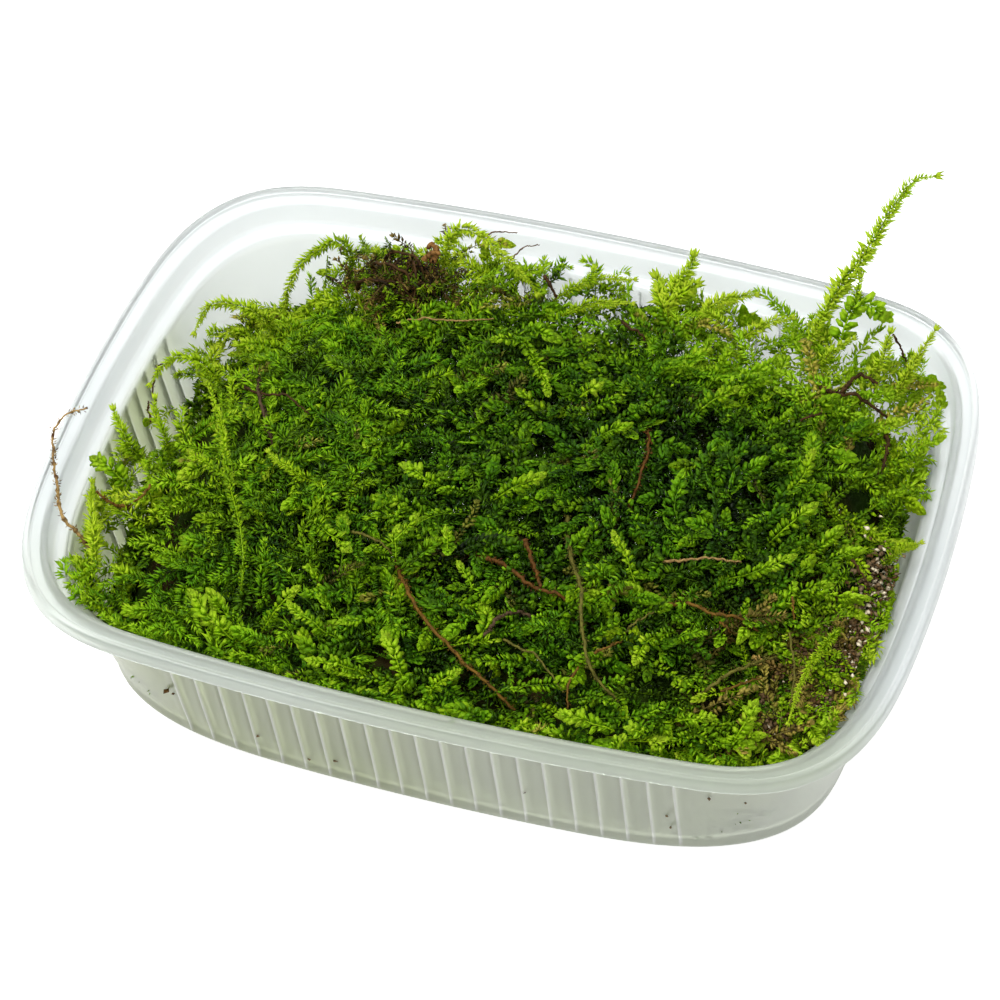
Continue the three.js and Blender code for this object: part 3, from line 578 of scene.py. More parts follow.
def leaves(shape, root, along, normal, length, width, tone, tip_light=0.14):
    """Closed leaves of one shape, each from its root along its own direction, paler towards the tip:
    painted light, as if lit through the thin tip.
    """
    corners, faces = shape
    along = unit(along)
    normal = unit(normal - np.sum(normal * along, axis=1, keepdims=True) * along)
    across = np.cross(normal, along)
    u, w, h = (corners[:, k][None, :, None] for k in range(3))
    size, wide = length[:, None, None], width[:, None, None]
    points = root[:, None] + size * u * along[:, None] + wide * w * across[:, None]
    points = points + size * h * normal[:, None]
    tones = np.repeat(tone[:, None], len(corners), axis=1)
    # Painted light: each leaf lighter towards its tip, as if lit through
    tones[:, :, 0] += tip_light * (corners[:, 0] - 0.4)
    return points.reshape(-1, 3), copies(faces, len(root), len(corners)), tones.reshape(-1, 3)


def buds(rng, paths, facing, size, tone):
    """Rounded bright tips, their extra lightness painted light: broad leaves in pairs, the hind ones
    spread and the front ones closed.
    """
    along, across, out = frames(paths, facing)
    tip, ahead, side, rise = paths[:, -1], along[:, -1], across[:, -1], out[:, -1]
    parts = []
    for back, angle in (
        (1.15, -0.72), (1.15, 0.72), (0.75, -0.5), (0.75, 0.5), (0.35, -0.3), (0.35, 0.3), (0.1, 0.0),
    ):
        root = tip - (back - 0.3) * size[:, None] * ahead
        spread = angle + rng.normal(0, 0.1, len(tip))[:, None]
        heading = np.cos(spread) * ahead + np.sin(spread) * side + 0.12 * rise
        normal = rise - 0.5 * np.sign(angle) * side
        # Painted light: the buds are lighter than their shoot
        shade = tone + np.array([0.20, 0.0, 0.0]) + rng.normal(0, 0.04, (len(tip), 1)) * (1, 1, 0)
        parts.append(leaves(BROAD_LEAF, root, heading, normal, size * 0.95, size * 0.66, shade, 0.22))
    return joined(parts)


def leafy(rng, paths, facing, leaf, pitch, tone, shape=SLIM_LEAF, slender=0.38, stalk=0.1, top_row=0.35,
          taper=0.0):
    """Shoots with two rows of leaves at their sides and a sparser row on top.

    Leaf j of a row stands (j + 0.3) * pitch along the path, the two rows half a pitch apart. The leaves
    are small at the foot and near the tip, and lean further forward the nearer they are to the tip.
    taper is the share of its length that a leaf loses from foot to tip.
    """
    count = len(paths)
    run = np.linalg.norm(np.diff(paths, axis=1), axis=2).sum(axis=1)
    along, across, out = frames(paths, facing)
    most = int(np.ceil((run / pitch).max()))
    number = np.arange(most)[None, :, None] + 0.5 * np.arange(3)[None, None, :] + 0.3
    step = (pitch / run)[:, None, None]
    share = number * step
    share = np.clip(share + rng.normal(0, 0.12, share.shape) * step, 0, 1.2)
    keep = share < 0.985
    keep[..., 2] &= rng.random(keep[..., 2].shape) < top_row
    flat = share.reshape(count, -1)
    place, ahead = at_share(paths, flat), at_share(along, flat)
    side, rise = at_share(across, flat), at_share(out, flat)
    sign = np.broadcast_to(np.array([-1.0, 1.0, 0.0]), share.shape).reshape(count, -1)
    top = sign == 0
    sign = np.where(top, rng.choice([-1.0, 1.0], sign.shape), sign)
    tilt = np.where(top, rng.uniform(0.9, 1.5, sign.shape), rng.uniform(-0.2, 0.5, sign.shape))
    angle = np.radians(62 - 24 * flat ** 2) + rng.normal(0, 0.26, sign.shape)
    sweep = np.cos(tilt)[..., None] * sign[..., None] * side + np.sin(tilt)[..., None] * rise
    heading = np.cos(angle)[..., None] * ahead + np.sin(angle)[..., None] * sweep
    turn = rng.normal(0, 0.5, sign.shape)[..., None]
    face = rise * np.cos(turn) + side * np.sin(turn) + (0.9 * top * sign)[..., None] * side
    grow = (0.55 + 0.45 * smooth(0.0, 0.3, flat)) * (1 - 0.3 * smooth(0.8, 1.0, flat))
    length = leaf[:, None] * (grow - taper * flat) * rng.uniform(0.7, 1.3, flat.shape)
    shade = np.repeat(tone[:, None, :], flat.shape[1], axis=1)
    # Painted shade at the foot of each shoot and painted light towards its tip
    shade[..., 0] += 0.5 * (flat ** 1.6 - 0.42) + rng.normal(0, 0.11, flat.shape)
    shade[..., 1] += rng.normal(0, 0.08, flat.shape)
    mask = keep.reshape(count, -1)
    width = length[mask] * slender * rng.uniform(0.85, 1.15, mask.sum())
    parts = [leaves(shape, place[mask], heading[mask], face[mask], length[mask], width, shade[mask])]
    for bend in (-0.4, 0.0, 0.4):
        last = paths[:, -1] - along[:, -1] * leaf[:, None] * 0.3
        ahead = along[:, -1] + bend * across[:, -1]
        # The end leaves are lighter: painted light on the shoot's tip
        ends = np.clip(tone + np.array([0.2, 0.02, 0.0]), 0, 1.2)
        parts.append(leaves(shape, last, ahead, out[:, -1], leaf * 0.8, leaf * slender, ends))
    stations = max(4, paths.shape[1] // 2)
    stops = np.linspace(0, paths.shape[1] - 1, stations).round().astype(int)
    slim = stalk * np.linspace(1.0, 0.5, stations)[None, :] * np.ones((count, 1))
    bare = np.repeat(tone[:, None, :], stations, axis=1)
    # The bare stalk is darker at its foot: painted shade
    bare[..., 0] += 0.2 * (np.linspace(0, 1, stations)[None, :] - 0.6)
    bare[..., 1] += 0.12
    parts.append(tubes(paths[:, stops], slim, facing, 3, bare))
    return joined(parts)


def curve_through(stops, count):
    """Evenly spaced points on a smooth curve through the stops (uniform Catmull-Rom)."""
    p = np.asarray(stops, float)
    p = np.concatenate([[2 * p[0] - p[1]], p, [2 * p[-1] - p[-2]]])
    a, b, c, d = (p[k:len(p) - 3 + k, None] for k in range(4))
    t = np.linspace(0, 1, 12, endpoint=False)[:, None]
    square, cube = 2 * a - 5 * b + 4 * c - d, 3 * b - a - 3 * c + d
    fine = 0.5 * (2 * b + (c - a) * t + square * t ** 2 + cube * t ** 3)
    fine = np.concatenate([fine.reshape(-1, 3), p[-2:-1]])
    run = run_along(fine)
    at = np.linspace(0, run[-1], count)
    return np.stack([np.interp(at, run, fine[:, k]) for k in range(3)], axis=1)


def lifted(stops):
    """Stops given as x, y and height over the heap."""
    s = np.asarray(stops, float)
    return np.column_stack([s[:, 0], s[:, 1], heap_top(s[:, 0], s[:, 1]) + s[:, 2]])


# Stand-out shoots: name, leaf length, lightness, yellowness, browning, then foot to tip as in the solid,
# and a second list for a side branch.
# Their lightness holds painted light and shade: high for the backlit shoots at the back and sides, low in
# the middle
SHOOTS = [
    ("tall_shoot", 1.55, 1.12, 0.8, 0,
     [(29, 31, -1.2), (31.5, 35.5, 5), (34, 38, 10), (37, 40.5, 17), (39, 41, 21), (42, 41, 22.5)]),
    ("knot_shoot", 1.8, 0.95, 0.3, 0, [(33, 30.5, -1), (33.5, 33.5, 3), (35, 34.5, 4.8), (38, 33, 5)]),
    ("hanging_branch", 1, 0.92, 0.75, 0.1, [(31, 27, -1), (33, 28.5, 1.5), (35, 30.5, 2.4)]),
    ("right_tuft", 1.35, 1.1, 0.85, 0, [(37.5, 27, -1.2), (39, 28, 2), (39.5, 30, 5.5)]),
    ("brown_tipped_shoot", 1.15, 0.98, 0.8, 0.12, [(41.5, 24.5, -1), (43, 27.5, 3.5), (45, 30.5, 7.5)]),
    ("right_edge_shoot", 1.1, 0.8, 0.4, 0, [(44.5, 15.5, -1), (46.5, 15.5, 3), (49, 16, 6)]),
    ("right_low_shoot", 0.9, 0.75, 0.75, 0.15, [(46, -0.5, -1), (48, 0, 2.5), (50.5, 0.5, 5.5)]),
    ("hooked_tuft", 1.7, 1.02, 0.8, 0, [(11.5, 29, -1.2), (11.5, 32.5, 2.5), (13, 34, 5), (13.5, 35, 7)],
     [(11, 29.5, 0), (10, 32, 2), (9, 33, 3.4)], [(12, 31, 1), (13, 32.5, 2.6), (14.5, 33, 3.6)]),
    ("back_arch", 1.25, 1.08, 0.85, 0,
     [(-18, 30, -1.2), (-17.5, 31.5, 3.5), (-16.5, 32.5, 5.5), (-13.5, 32, 5.5), (-8.5, 29.5, 3.5),
      (-4.5, 27.5, 1)]),
    ("back_high_frond", 0.95, 0.92, 0.75, 0.08,
     [(-3, 28.5, -0.8), (-0.5, 29.5, 1.6), (3, 30.5, 3.2), (7, 31, 3.8)]),
    ("back_low_frond", 0.95, 0.9, 0.75, 0.08, [(-1, 26, -0.8), (2, 27.5, 1), (7.5, 28.5, 1.8)]),
    ("back_right_frond", 1.25, 1.1, 0.85, 0,
     [(15.5, 29.5, -1), (16.5, 31.5, 1.5), (19, 32.5, 2.8), (22, 33, 3.8)]),
    ("back_right_bough", 1.15, 1.02, 0.85, 0, [(21, 29, -1), (24, 30.5, 1.5), (27, 31.5, 2.6)]),
    ("back_left_arch", 1.1, 0.88, 0.8, 0.05,
     [(-30, 29, -1.2), (-30.5, 30, 4.5), (-32, 30, 7), (-35.5, 28.5, 7), (-37, 25.5, 5),
      (-38, 23.5, -0.8)]),
    ("left_upper_arch", 1.2, 0.95, 0.8, 0,
     [(-36.5, 19.5, -1.2), (-38, 17, 4.5), (-42, 17, 7), (-44, 15, 7.5), (-44, 11, 5.5)]),
    ("left_lower_arch", 1.1, 0.86, 0.75, 0,
     [(-38.5, 5.5, -1.2), (-40.5, 5.5, 2.5), (-44, 6, 5), (-45.5, 4, 5.5), (-46, 1, 5)]),
    ("left_spruce_shoot", 1.2, 0.8, 0.7, 0,
     [(-44, -8, -1.2), (-45.5, -8, 2.5), (-46.5, -7, 4.5), (-48, -5.5, 7)]),
    ("left_round_tip", 1.35, 0.8, 0.4, 0, [(-43, -13.5, -1), (-45, -13, 2), (-48, -11.5, 3.5)]),
    ("left_wall_frond", 1.3, 1.05, 0.8, 0,
     [(-42.5, -26.5, -1.2), (-43.5, -23.5, 1.5), (-45.5, -19.5, 2.5), (-47, -15.5, 3.5)]),
    ("left_standing_shoot", 1.1, 0.76, 0.75, 0,
     [(-40, -8.5, -1.2), (-40.5, -7.5, 2), (-42.5, -5.5, 4), (-43, -4, 6)]),
    ("long_pale_frond", 0.75, 0.74, 0.65, 0,
     [(-24, -27, -1.2), (-24.5, -23.5, 1.5), (-27, -18.5, 2.5), (-31, -11.5, 3), (-33.5, -6, 3),
      (-38, 0.5, 4)],
     [(-29.5, -14, 3), (-32, -12.5, 3), (-36, -10.5, 3)]),
    ("upper_left_sprig", 0.95, 0.78, 0.7, 0,
     [(-20.5, -9, -1.2), (-23, -9.5, 1), (-25, -9, 1.7), (-27, -8, 2.2)]),
    ("left_centre_sprig", 1.2, 0.72, 0.35, 0,
     [(-20.5, -13.5, -1.2), (-17.5, -16.5, 1), (-14.5, -18.5, 1.8), (-13, -19.5, 2.2)]),
    ("front_left_tip", 1.25, 0.84, 0.4, 0,
     [(-21, -33.2, -1.2), (-23.5, -33, 1.2), (-26, -32, 2.2), (-28, -30.5, 3)]),
    ("front_left_fan", 1, 0.76, 0.5, 0, [(-20, -30.5, -1), (-18.5, -28.5, 1.2), (-17, -26.5, 2.2)]),
    ("front_left_spray", 1, 0.7, 0.4, 0,
     [(-10.5, -29.5, -1.2), (-12.5, -30, 1), (-14.5, -29.5, 1.8), (-16.5, -29, 2.5)]),
    ("front_left_low", 1, 0.8, 0.4, 0, [(-6, -33, -1), (-8.5, -34, 1.2), (-12, -35, 2.4)]),
    ("front_sprig_left", 1.15, 0.84, 0.4, 0, [(-1, -34, -1), (-2.5, -32.5, 1.5), (-4.5, -30.5, 3)]),
    ("front_sprig_mid", 1, 0.84, 0.4, 0, [(1.5, -34.2, -0.8), (2.5, -34, 1.6), (4.5, -33, 3)]),
    ("centre_round_tip", 1.15, 0.8, 0.3, 0, [(-5.5, -6, -1.2), (-7.5, -7, 1.2), (-10, -6.5, 2.2)]),
    ("centre_spray", 1.15, 0.74, 0.4, 0, [(0, -7, -1.2), (2.5, -6, 1.2), (5.5, -4, 2.2)]),
    ("upper_centre_frond", 1.05, 0.66, 0.4, 0,
     [(-8, 22, -1.2), (-3.5, 18, 1.2), (0, 13.5, 1.8), (2.5, 9.5, 2.2)]),
    ("centre_leaf_spray", 1.05, 0.66, 0.3, 0, [(8, 4.5, -1.2), (10.5, 5.5, 1.2), (13, 7, 2)]),
    ("centre_right_spray", 1.05, 0.7, 0.4, 0, [(19, 12.5, -1.2), (21, 14.5, 1.2), (23.5, 17, 2)]),
    ("right_spray", 1.05, 0.72, 0.5, 0, [(32.5, 4, -1.2), (34.5, 6, 1.2), (35, 9.5, 2.4)]),
    ("right_round_tip", 1.3, 0.84, 0.35, 0, [(33, -2.5, -1.2), (35, -1, 1.3), (37, 1.5, 2.4)]),
    ("centre_blue_sprig", 1.15, 0.6, 0, 0, [(22.5, -4, -1.2), (21.5, -2, 1.2), (21.5, 1, 2.4)]),
    ("right_long_spray", 1.05, 0.7, 0.4, 0, [(29.5, -9.5, -1.2), (33, -9, 1.2), (36.5, -6.5, 2.2)]),
    ("front_slim_sprig", 0.85, 0.76, 0.5, 0, [(20.5, -14.5, -1.2), (19, -12.5, 1.2), (16.5, -10, 2.4)]),
    ("front_curled_spray", 1.15, 0.7, 0.5, 0, [(26, -18.5, -1), (24, -22, 1.2), (23.5, -25.5, 2)]),
    ("long_bright_frond", 0.85, 0.86, 0.7, 0,
     [(44, -11, -1.2), (43.5, -15, 1.2), (42.5, -19, 1.8), (42, -23.5, 2), (42, -28, 1.6)]),
    ("front_right_tip", 1.25, 0.84, 0.4, 0, [(36, -31.5, -1.2), (37, -30.5, 1.2), (38, -28, 2.8)]),
]

# Fine brown hairs grown on the back arch
HAIRS = [
    [(-13.5, 32, 5.5), (-11.5, 33.2, 6), (-9, 33.7, 6.2)],
    [(-9, 30, 3.8), (-8, 32.4, 4.6), (-6, 33.4, 5)],
]

# Bare stems: name, bark, radius, foot to tip, and a second list for a fork.
STEMS = [
    ("orange_stem", "orange", 0.25,
     [(-8, -17.5, -0.8), (-5, -22, 1.2), (-2, -25.5, 1.5), (3.5, -29.5, 1.6), (7, -31.5, 1.4),
      (11.5, -33, -0.8)]),
    ("red_stem", "red", 0.28,
     [(0, -14.5, -0.8), (4, -16, 1.2), (6.5, -17, 1.4), (9.5, -18.5, 1.4), (12.5, -18.5, 1.1),
      (14, -18.5, -0.8)],
     [(6.5, -13, 2.4), (8, -15, 1.9), (10, -18.2, 1.4)]),
    ("crossing_stem", "purple", 0.25,
     [(4, -26.5, -0.8), (6, -25.5, 1.2), (6.5, -23.5, 1.3), (8.5, -22, 1.2), (11, -21.5, -0.8)]),
    ("standing_stem", "olive", 0.27,
     [(9.5, -6, -0.8), (12, -13, 1.8), (15, -18.5, 3.2), (16.5, -23, 2.4), (19, -27.5, 1.6),
      (22.5, -29, -0.8)]),
    ("brown_stem", "orange", 0.24,
     [(23, -15.5, -0.8), (26.5, -15.5, 1.2), (30, -16, 1.4), (33, -15.5, 1.2), (36, -15.5, -0.8)]),
    ("olive_stem", "olive", 0.24,
     [(30.5, -27, -0.8), (33, -24.5, 1.3), (36, -21.5, 1.5), (38.5, -17.5, -0.8)]),
    ("back_red_stem", "red", 0.22, [(14, 11.5, -0.8), (16, 6, 1.2), (16.5, 1, 1.4), (16, -3, -0.8)]),
    ("upper_left_stem", "purple", 0.24,
     [(-28, -4, -0.8), (-29, -3, 1), (-32.5, 3, 1.5), (-35, 10, -0.8)]),
    ("dark_twig", "dark", 0.28,
     [(32.5, 24, -0.8), (35.5, 22, 1), (37.5, 22, 1.5), (41.5, 22, -0.8)],
     [(35.5, 22.2, 1.1), (37, 24.5, 2.6), (39.5, 24, 2.5)]),
    ("right_twig", "dark", 0.24, [(41.5, 19, -0.8), (42.5, 17, 1), (43, 13, 1.2), (42, 10.5, -0.8)]),
    ("left_stalk", "orange", 0.22, [(-42, -16, -0.8), (-43.5, -17.5, 1.5), (-45.5, -17.5, 4)]),
    ("overhanging_root", "tan", 0.25,
     [(-44, -23.5, -0.8), (-45.5, -23.5, 2.6), (-47.5, -23, 5.6), (-49.5, -19.5, 7.6),
      (-51, -16.5, 8.8), (-52.5, -13, 10.2), (-52, -10.5, 11.1), (-49.5, -9, 11.1)]),
]

# Four roots looped over the root clump
CLUMP_ROOTS = [
    [(-28, 26, 0.9), (-26.5, 24, 3.6), (-24, 23.5, 4), (-22, 24.5, 2.8)],
    [(-26, 29.5, 1.4), (-24, 28.6, 4.5), (-20.5, 27.8, 4.3), (-19, 26.2, 2)],
    [(-27, 28, 2), (-25, 26.2, 4.8), (-21.5, 25.3, 4.1), (-19, 24, 1.5)],
    [(-22.5, 29.2, 1.8), (-20.5, 27, 4.1), (-19.5, 25, 3)],
]

# Small stems and threads lying on the heap: bark, radius, and points from end to end.
THREADS = [
    ("dark", 0.28, [(-4, 29, 3.5), (-3, 28, 3), (-2, 27.5, 1.5)]),
    ("dark", 0.16, [(-46.5, 3, 1), (-47.5, 4.5, 2.5), (-48, 6.5, 3.5), (-48.3, 8.5, 3.8), (-47.5, 9, 3)]),
    ("dark", 0.18, [(39.5, 31.5, 4), (41, 30, 3), (42, 29.5, 1)]),
    ("dark", 0.22, [(7, 25.5, 1.5), (8.5, 24, 2), (9.5, 24, 1.8), (10.5, 23.5, 0.8)]),
    ("dark", 0.20, [(32, 16, 1), (33, 16.5, 1.6), (34, 18, 1)]),
    ("dark", 0.18, [(-44.5, -3, 1.5), (-45, -2, 2.6), (-46, 0, 3.4)]),
    ("dark", 0.20, [(-34.5, 3.5, 1), (-31.5, 2, 1.6), (-28.5, 2, 1.8), (-25, 0.5, 0.8)]),
    ("dark", 0.18, [(43, -3, 1.5), (44.5, -4.5, 2), (46, -5.5, 1)]),
    ("tan", 0.14, [(-20, 18.5, 0.8), (-17, 19, 1.6), (-14, 19, 1.8), (-11, 20, 1.6), (-8.5, 22, 0.8)]),
    ("tan", 0.18, [(22.5, -10.5, 1), (25, -10, 1.8), (27.5, -9, 2), (29.5, -8.5, 1.8), (31, -7.5, 0.8)]),
    ("orange", 0.18, [(-39.5, -15, 2.2), (-40, -17, 2.2), (-41, -18, 1.8)]),
    ("orange", 0.18, [(18.5, -25, 1.4), (20, -24, 1.8), (21, -22.5, 1)]),
    ("orange", 0.18, [(17.5, -25.5, 1), (17, -30, 1.8), (17.5, -32.5, 1)]),
    ("orange", 0.16, [(38, -11, 1.8), (38.5, -12.5, 1.6), (39, -13.5, 0.8)]),
    ("orange", 0.16, [(31, -16.5, 1), (32, -17.5, 1.6), (32.5, -17.5, 0.8)]),
    ("orange", 0.18, [(33.5, -25.5, 1), (35.5, -24.5, 1.6), (37.5, -22.5, 1)]),
    ("knot", 0.5, [(-18.5, 28.5, 3.4), (-18.2, 29.3, 4.2), (-18.8, 30, 4.9), (-19.6, 29.8, 4.7)]),
    ("knot", 0.4, [(-19.5, 28, 3.8), (-18.6, 28.6, 4.6), (-17.6, 29, 4.3)]),
    ("olive", 0.17,
     [(8, -26, 1.2), (10.5, -27, 1.8), (12.5, -27.5, 1.8), (15, -29.5, 1.6), (16.5, -30.5, 0.8)]),
    ("olive", 0.19, [(-13.5, -16.5, 1.6), (-11.5, -17, 2.2), (-9.5, -17.5, 2), (-8, -18, 1.2)]),
    ("olive", 0.16, [(21, -21, 0.8), (22, -20, 1.8), (23.5, -18, 1.6)]),
    ("olive", 0.16, [(39, -16, 1.8), (40, -18.5, 2), (41, -21.5, 2), (41.5, -25, 0.8)]),
]

# Small leafy tips: leaf length, lightness, yellowness, then foot to tip.
TIPS = [
    (0.9, 0.78, 0.4, [(-7.5, -18.5, 0.8), (-8, -17, 2), (-8, -16, 2.6)]),
    (0.9, 0.84, 0.4, [(-8, -17, 2), (-7, -15.5, 2.6), (-6.5, -14, 2.8)]),
    (0.9, 0.8, 0.4, [(-2, -16, 0.8), (-2.5, -14.5, 2)]),
    (0.8, 0.78, 0.4, [(2.5, -20.5, 0.8), (1.5, -19.5, 1.6), (0.5, -18.5, 2)]),
    (1.2, 0.9, 0.35, [(23.5, -34, 0.8), (22, -34.3, 1.6), (20, -34.6, 2.4), (18, -35, 3)]),
    (1.1, 0.86, 0.35, [(27, -33.5, 0.8), (25.5, -34, 2)]),
    (1.0, 0.84, 0.4, [(30, -31, 1), (31.5, -31, 2), (33.5, -30.5, 2.4)]),
    (1.0, 0.86, 0.5, [(6, 11, 0.8), (7, 11.5, 1.8), (8, 12, 2.4)]),
    (1.2, 0.84, 0.7, [(34, 34, 3), (34, 35.5, 6), (34, 36.5, 7.5)]),
    (1.0, 0.82, 0.7, [(1.5, 29, 3), (2, 30.5, 5)]),
]

# The barks that the threads come in, each paired with a slot name
THREAD_SLOTS = {
    "dark": "dark_root", "tan": "tan_root", "orange": "orange_stem", "olive": "olive_stem",
    "knot": "orange_stem",
}
# Which way the flat side of a stand-out shoot faces
FACING = unit(np.array([0.2, -0.5, 0.85]))
# How far apart the swellings of a stem are, and the yellowness above which a shoot bristles
KNOTS_APART, BRISTLY = 2.1, 0.65


def shoot_surface(rng, stops, leaf, tone):
    """One stand-out shoot along its stops. The pale ones bristle all round with slim leaves and taper to a
    point, and the others carry broad leaves and a rounded tip."""
    path = curve_through(lifted(stops), 24)
    wave = 0.12 * np.sin(np.linspace(0, run_along(path)[-1], 24) * 1.7)[:, None]
    path = (path + wave * (0.6, 0.3, 0.7))[None]
    facing = unit(FACING + rng.normal(0, 0.15, (1, 3)))
    tone = np.array([tone])
    size = np.array([leaf])
    if tone[0, 1] > BRISTLY:
        bristle = (size * 1.25, 0.28, tone, SLIM_LEAF, 0.25, 0.14, 1.0, 0.5)
        return joined([leafy(rng, path, unit(facing + turn), *bristle) for turn in (0.0, (0.9, 0.2, 0.0))])
    body = leafy(rng, path, facing, size, 0.46 * size ** 0.5, tone, BLUNT_LEAF, 0.5, 0.17, 0.8)
    return joined([body, buds(rng, path, facing, 0.85 * size, tone)])


def stem_tube(rng, path, radius, end, sides=9, knots=0.3):
    """A bark tube: its radius tapers to end of it, with a swelling every KNOTS_APART, a bell as high as
    knots, where the bark is darker, and a little unevenness."""
    stations = len(path)
    beside = (run_along(path) + rng.uniform(0, 2)) % KNOTS_APART - KNOTS_APART / 2
    swell = knots * np.exp(-beside ** 2 / 0.05)
    radii = radius * np.linspace(1, end, stations) * (0.86 + swell + rng.normal(0, 0.05, stations))
    tone = (0.5 - swell + rng.normal(0, 0.06, stations))[None, :, None] * (1, 0, 0)
    return tubes(path[None], radii[None], unit(np.array([[0.13, -0.42, 0.9]])), sides, tone)


def scales(rng, path, radius, size, pitch):
    """Torn leaf feet that roughen a bare stem: slim slivers leaning forward all round it, one for each
    pitch of its length."""
    count = max(4, int(run_along(path)[-1] / pitch))
    share = np.sort(rng.random(count))[None]
    ahead, across, out = (at_share(way, share)[0] for way in frames(path[None], FACING[None]))
    turn = rng.uniform(0, 2 * np.pi, (count, 1))
    side = np.cos(turn) * across + np.sin(turn) * out
    root = at_share(path[None], share)[0] + 0.7 * radius * side
    heading = ahead * rng.uniform(0.1, 1.2, (count, 1)) + side
    tone = rng.uniform(-0.2, 1.1, (count, 1)) * (1, 0, 0)
    length = size * rng.uniform(0.5, 1.4, count)
    return leaves(SLIM_LEAF, root, heading, side, length, 0.4 * length, tone)


def bent(rng, stops, each=14):
    """A stem's path: a smooth curve through its stops, shaken a little and straightened again."""
    path = curve_through(lifted(stops) - (0, 0, 0.45), each * len(stops))
    noise = rng.normal(0, 0.07, path.shape)
    path[1:-1] += (noise[:-2] + noise[1:-1] + noise[2:]) / 1.7
    return path


def stems(rng, barks):
    """The bare stems, each with its fork if it has one, rough with torn leaf feet."""
    for name, kind, radius, *lists in STEMS:
        end, knots = (0.45, 0.6) if kind == "tan" else (0.7, 0.3)
        parts = []
        for stops in lists:
            path = bent(rng, stops)
            parts += [stem_tube(rng, path, radius, end, 9, knots), scales(rng, path, radius, 0.45, 0.13)]
        add(name + "_bark", parts, barks[kind], name, True)


def threads(rng, barks):
    """The small stems of each bark as one piece."""
    for kind, slot in THREAD_SLOTS.items():
        parts = []
        for radius, stops in (thread[1:] for thread in THREADS if thread[0] == kind):
            path = bent(rng, stops, 10)
            parts += [stem_tube(rng, path, radius, 0.6, 7), scales(rng, path, radius, 0.3, 0.25)]
        add(kind + "_threads", parts, barks[kind], smooth_shading=True)


def shoots(rng, green, barks):
    """The stand-out shoots, each with its side branches if it has any, the small tips and the hairs."""
    for name, leaf, light, hue, brown, *lists in SHOOTS:
        parts = [shoot_surface(rng, stops, leaf, (light, hue, brown)) for stops in lists]
        add(name + "_leaves", parts, green, name)
    parts = [shoot_surface(rng, stops, leaf, (light, hue, 0.0)) for leaf, light, hue, stops in TIPS]
    add("small_tips", parts, green)
    parts = [stem_tube(rng, bent(rng, stops, 10), 0.13, 0.5, 6) for stops in HAIRS]
    add("back_arch_hairs", parts, barks["red"], "back_arch", True)


# Root clump and litter

def curly_paths(rng, count, stations, length, curl):
    """Loose curls about the origin, in even steps along a heading that drifts at random."""
    drift = np.cumsum(rng.normal(0, curl, (count, stations, 3)), axis=1)
    heading = unit(unit(rng.normal(0, 1, (count, 1, 3))) + drift)
    step = rng.uniform(*length, count)[:, None, None] / stations
    path = np.cumsum(heading * step, axis=1)
    return path - path.mean(axis=1, keepdims=True)


def root_clump(rng, barks, green):
    """A loose tangle of dark roots: thick loops as in the solid, curls in a flat ball with a ragged edge,
    and dead and living leaves caught in it."""
    middle, reach = lifted([CLUMP[:3]])[0], np.array(CLUMP[3:])
    parts = [stem_tube(rng, bent(rng, stops, 12), 0.26, 0.6) for stops in CLUMP_ROOTS]
    count, stations = 130, 16
    paths = curly_paths(rng, count, stations, (4, 11), 0.6)
    paths = paths + rng.normal(0, 0.45, (count, 1, 3)) * reach
    far = np.linalg.norm(paths / reach, axis=-1, keepdims=True)
    limit = rng.uniform(0.75, 1.25, (count, 1, 1))
    paths = middle + paths / np.maximum(far, 1e-3) * np.minimum(far, limit + 0.1 * (far - limit))
    radii = rng.uniform(0.06, 0.15, (count, 1)) * np.linspace(1, 0.5, stations)
    tone = np.repeat(rng.uniform(-0.2, 0.9, (count, 1, 1)), stations, axis=1) * (1, 0, 0)
    parts.append(tubes(paths, radii, unit(rng.normal(0, 1, (count, 3))), 5, tone))
    add("root_clump_tangle", parts, barks["dark"], "root_clump", True)
    count = 230
    paths = curly_paths(rng, count, 7, (2.0, 5.0), 0.3)
    paths = paths + middle + rng.normal(0, 0.6, (count, 1, 3)) * reach * (1.05, 1, 0.8)
    alive = rng.random(count) < 0.6
    tone = np.column_stack([
        rng.uniform(0.25, 0.7, count), rng.uniform(0.3, 1, count), np.where(alive, 0.15, 0.9),
    ])
    size = rng.uniform(0.55, 0.9, count)
    part = leafy(rng, paths, unit(rng.normal(0, 1, (count, 3))), size, size * 0.5, tone)
    add("root_clump_leaves", [part], green, "root_clump")


# A crumb is an octahedron
CRUMB = (
    np.array([[1, 0, 0], [-1, 0, 0], [0, 1, 0], [0, -1, 0], [0, 0, 1], [0, 0, -1]], float),
    np.array([[0, 2, 4], [2, 1, 4], [1, 3, 4], [3, 0, 4], [2, 0, 5], [1, 2, 5], [3, 1, 5], [0, 3, 5]]),
)


def crumbs(rng, places, sizes, pale, flat=0.6):
    """Uneven crumbs at the places: octahedra with shaken corners, flattened and turned."""
    corners, faces = CRUMB
    count = len(places)
    shape = corners * rng.uniform(0.6, 1.25, (count, 6, 1)) + rng.normal(0, 0.16, (count, 6, 3))
    turn = rng.uniform(0, np.pi, (count, 1))
    x, y, z = shape[..., 0] * 1.25, shape[..., 1] * 0.85, shape[..., 2] * flat
    shape = np.stack([np.cos(turn) * x - np.sin(turn) * y, np.sin(turn) * x + np.cos(turn) * y, z], -1)
    points = places[:, None] + shape * sizes[:, None, None]
    tone = np.repeat(pale[:, None, None], 6, axis=1) * (1, 0, 0)
    return points.reshape(-1, 3), copies(faces, count, 6), tone.reshape(-1, 3)


def in_oval(oval, u, v):
    """Places in a turned oval, u being the share of the way out from its middle and v the angle."""
    x0, y0, rx, ry, turn = oval
    p, q = rx * u * np.cos(v), ry * u * np.sin(v)
    return x0 + p * np.cos(turn) + q * np.sin(turn), y0 - p * np.sin(turn) + q * np.cos(turn)


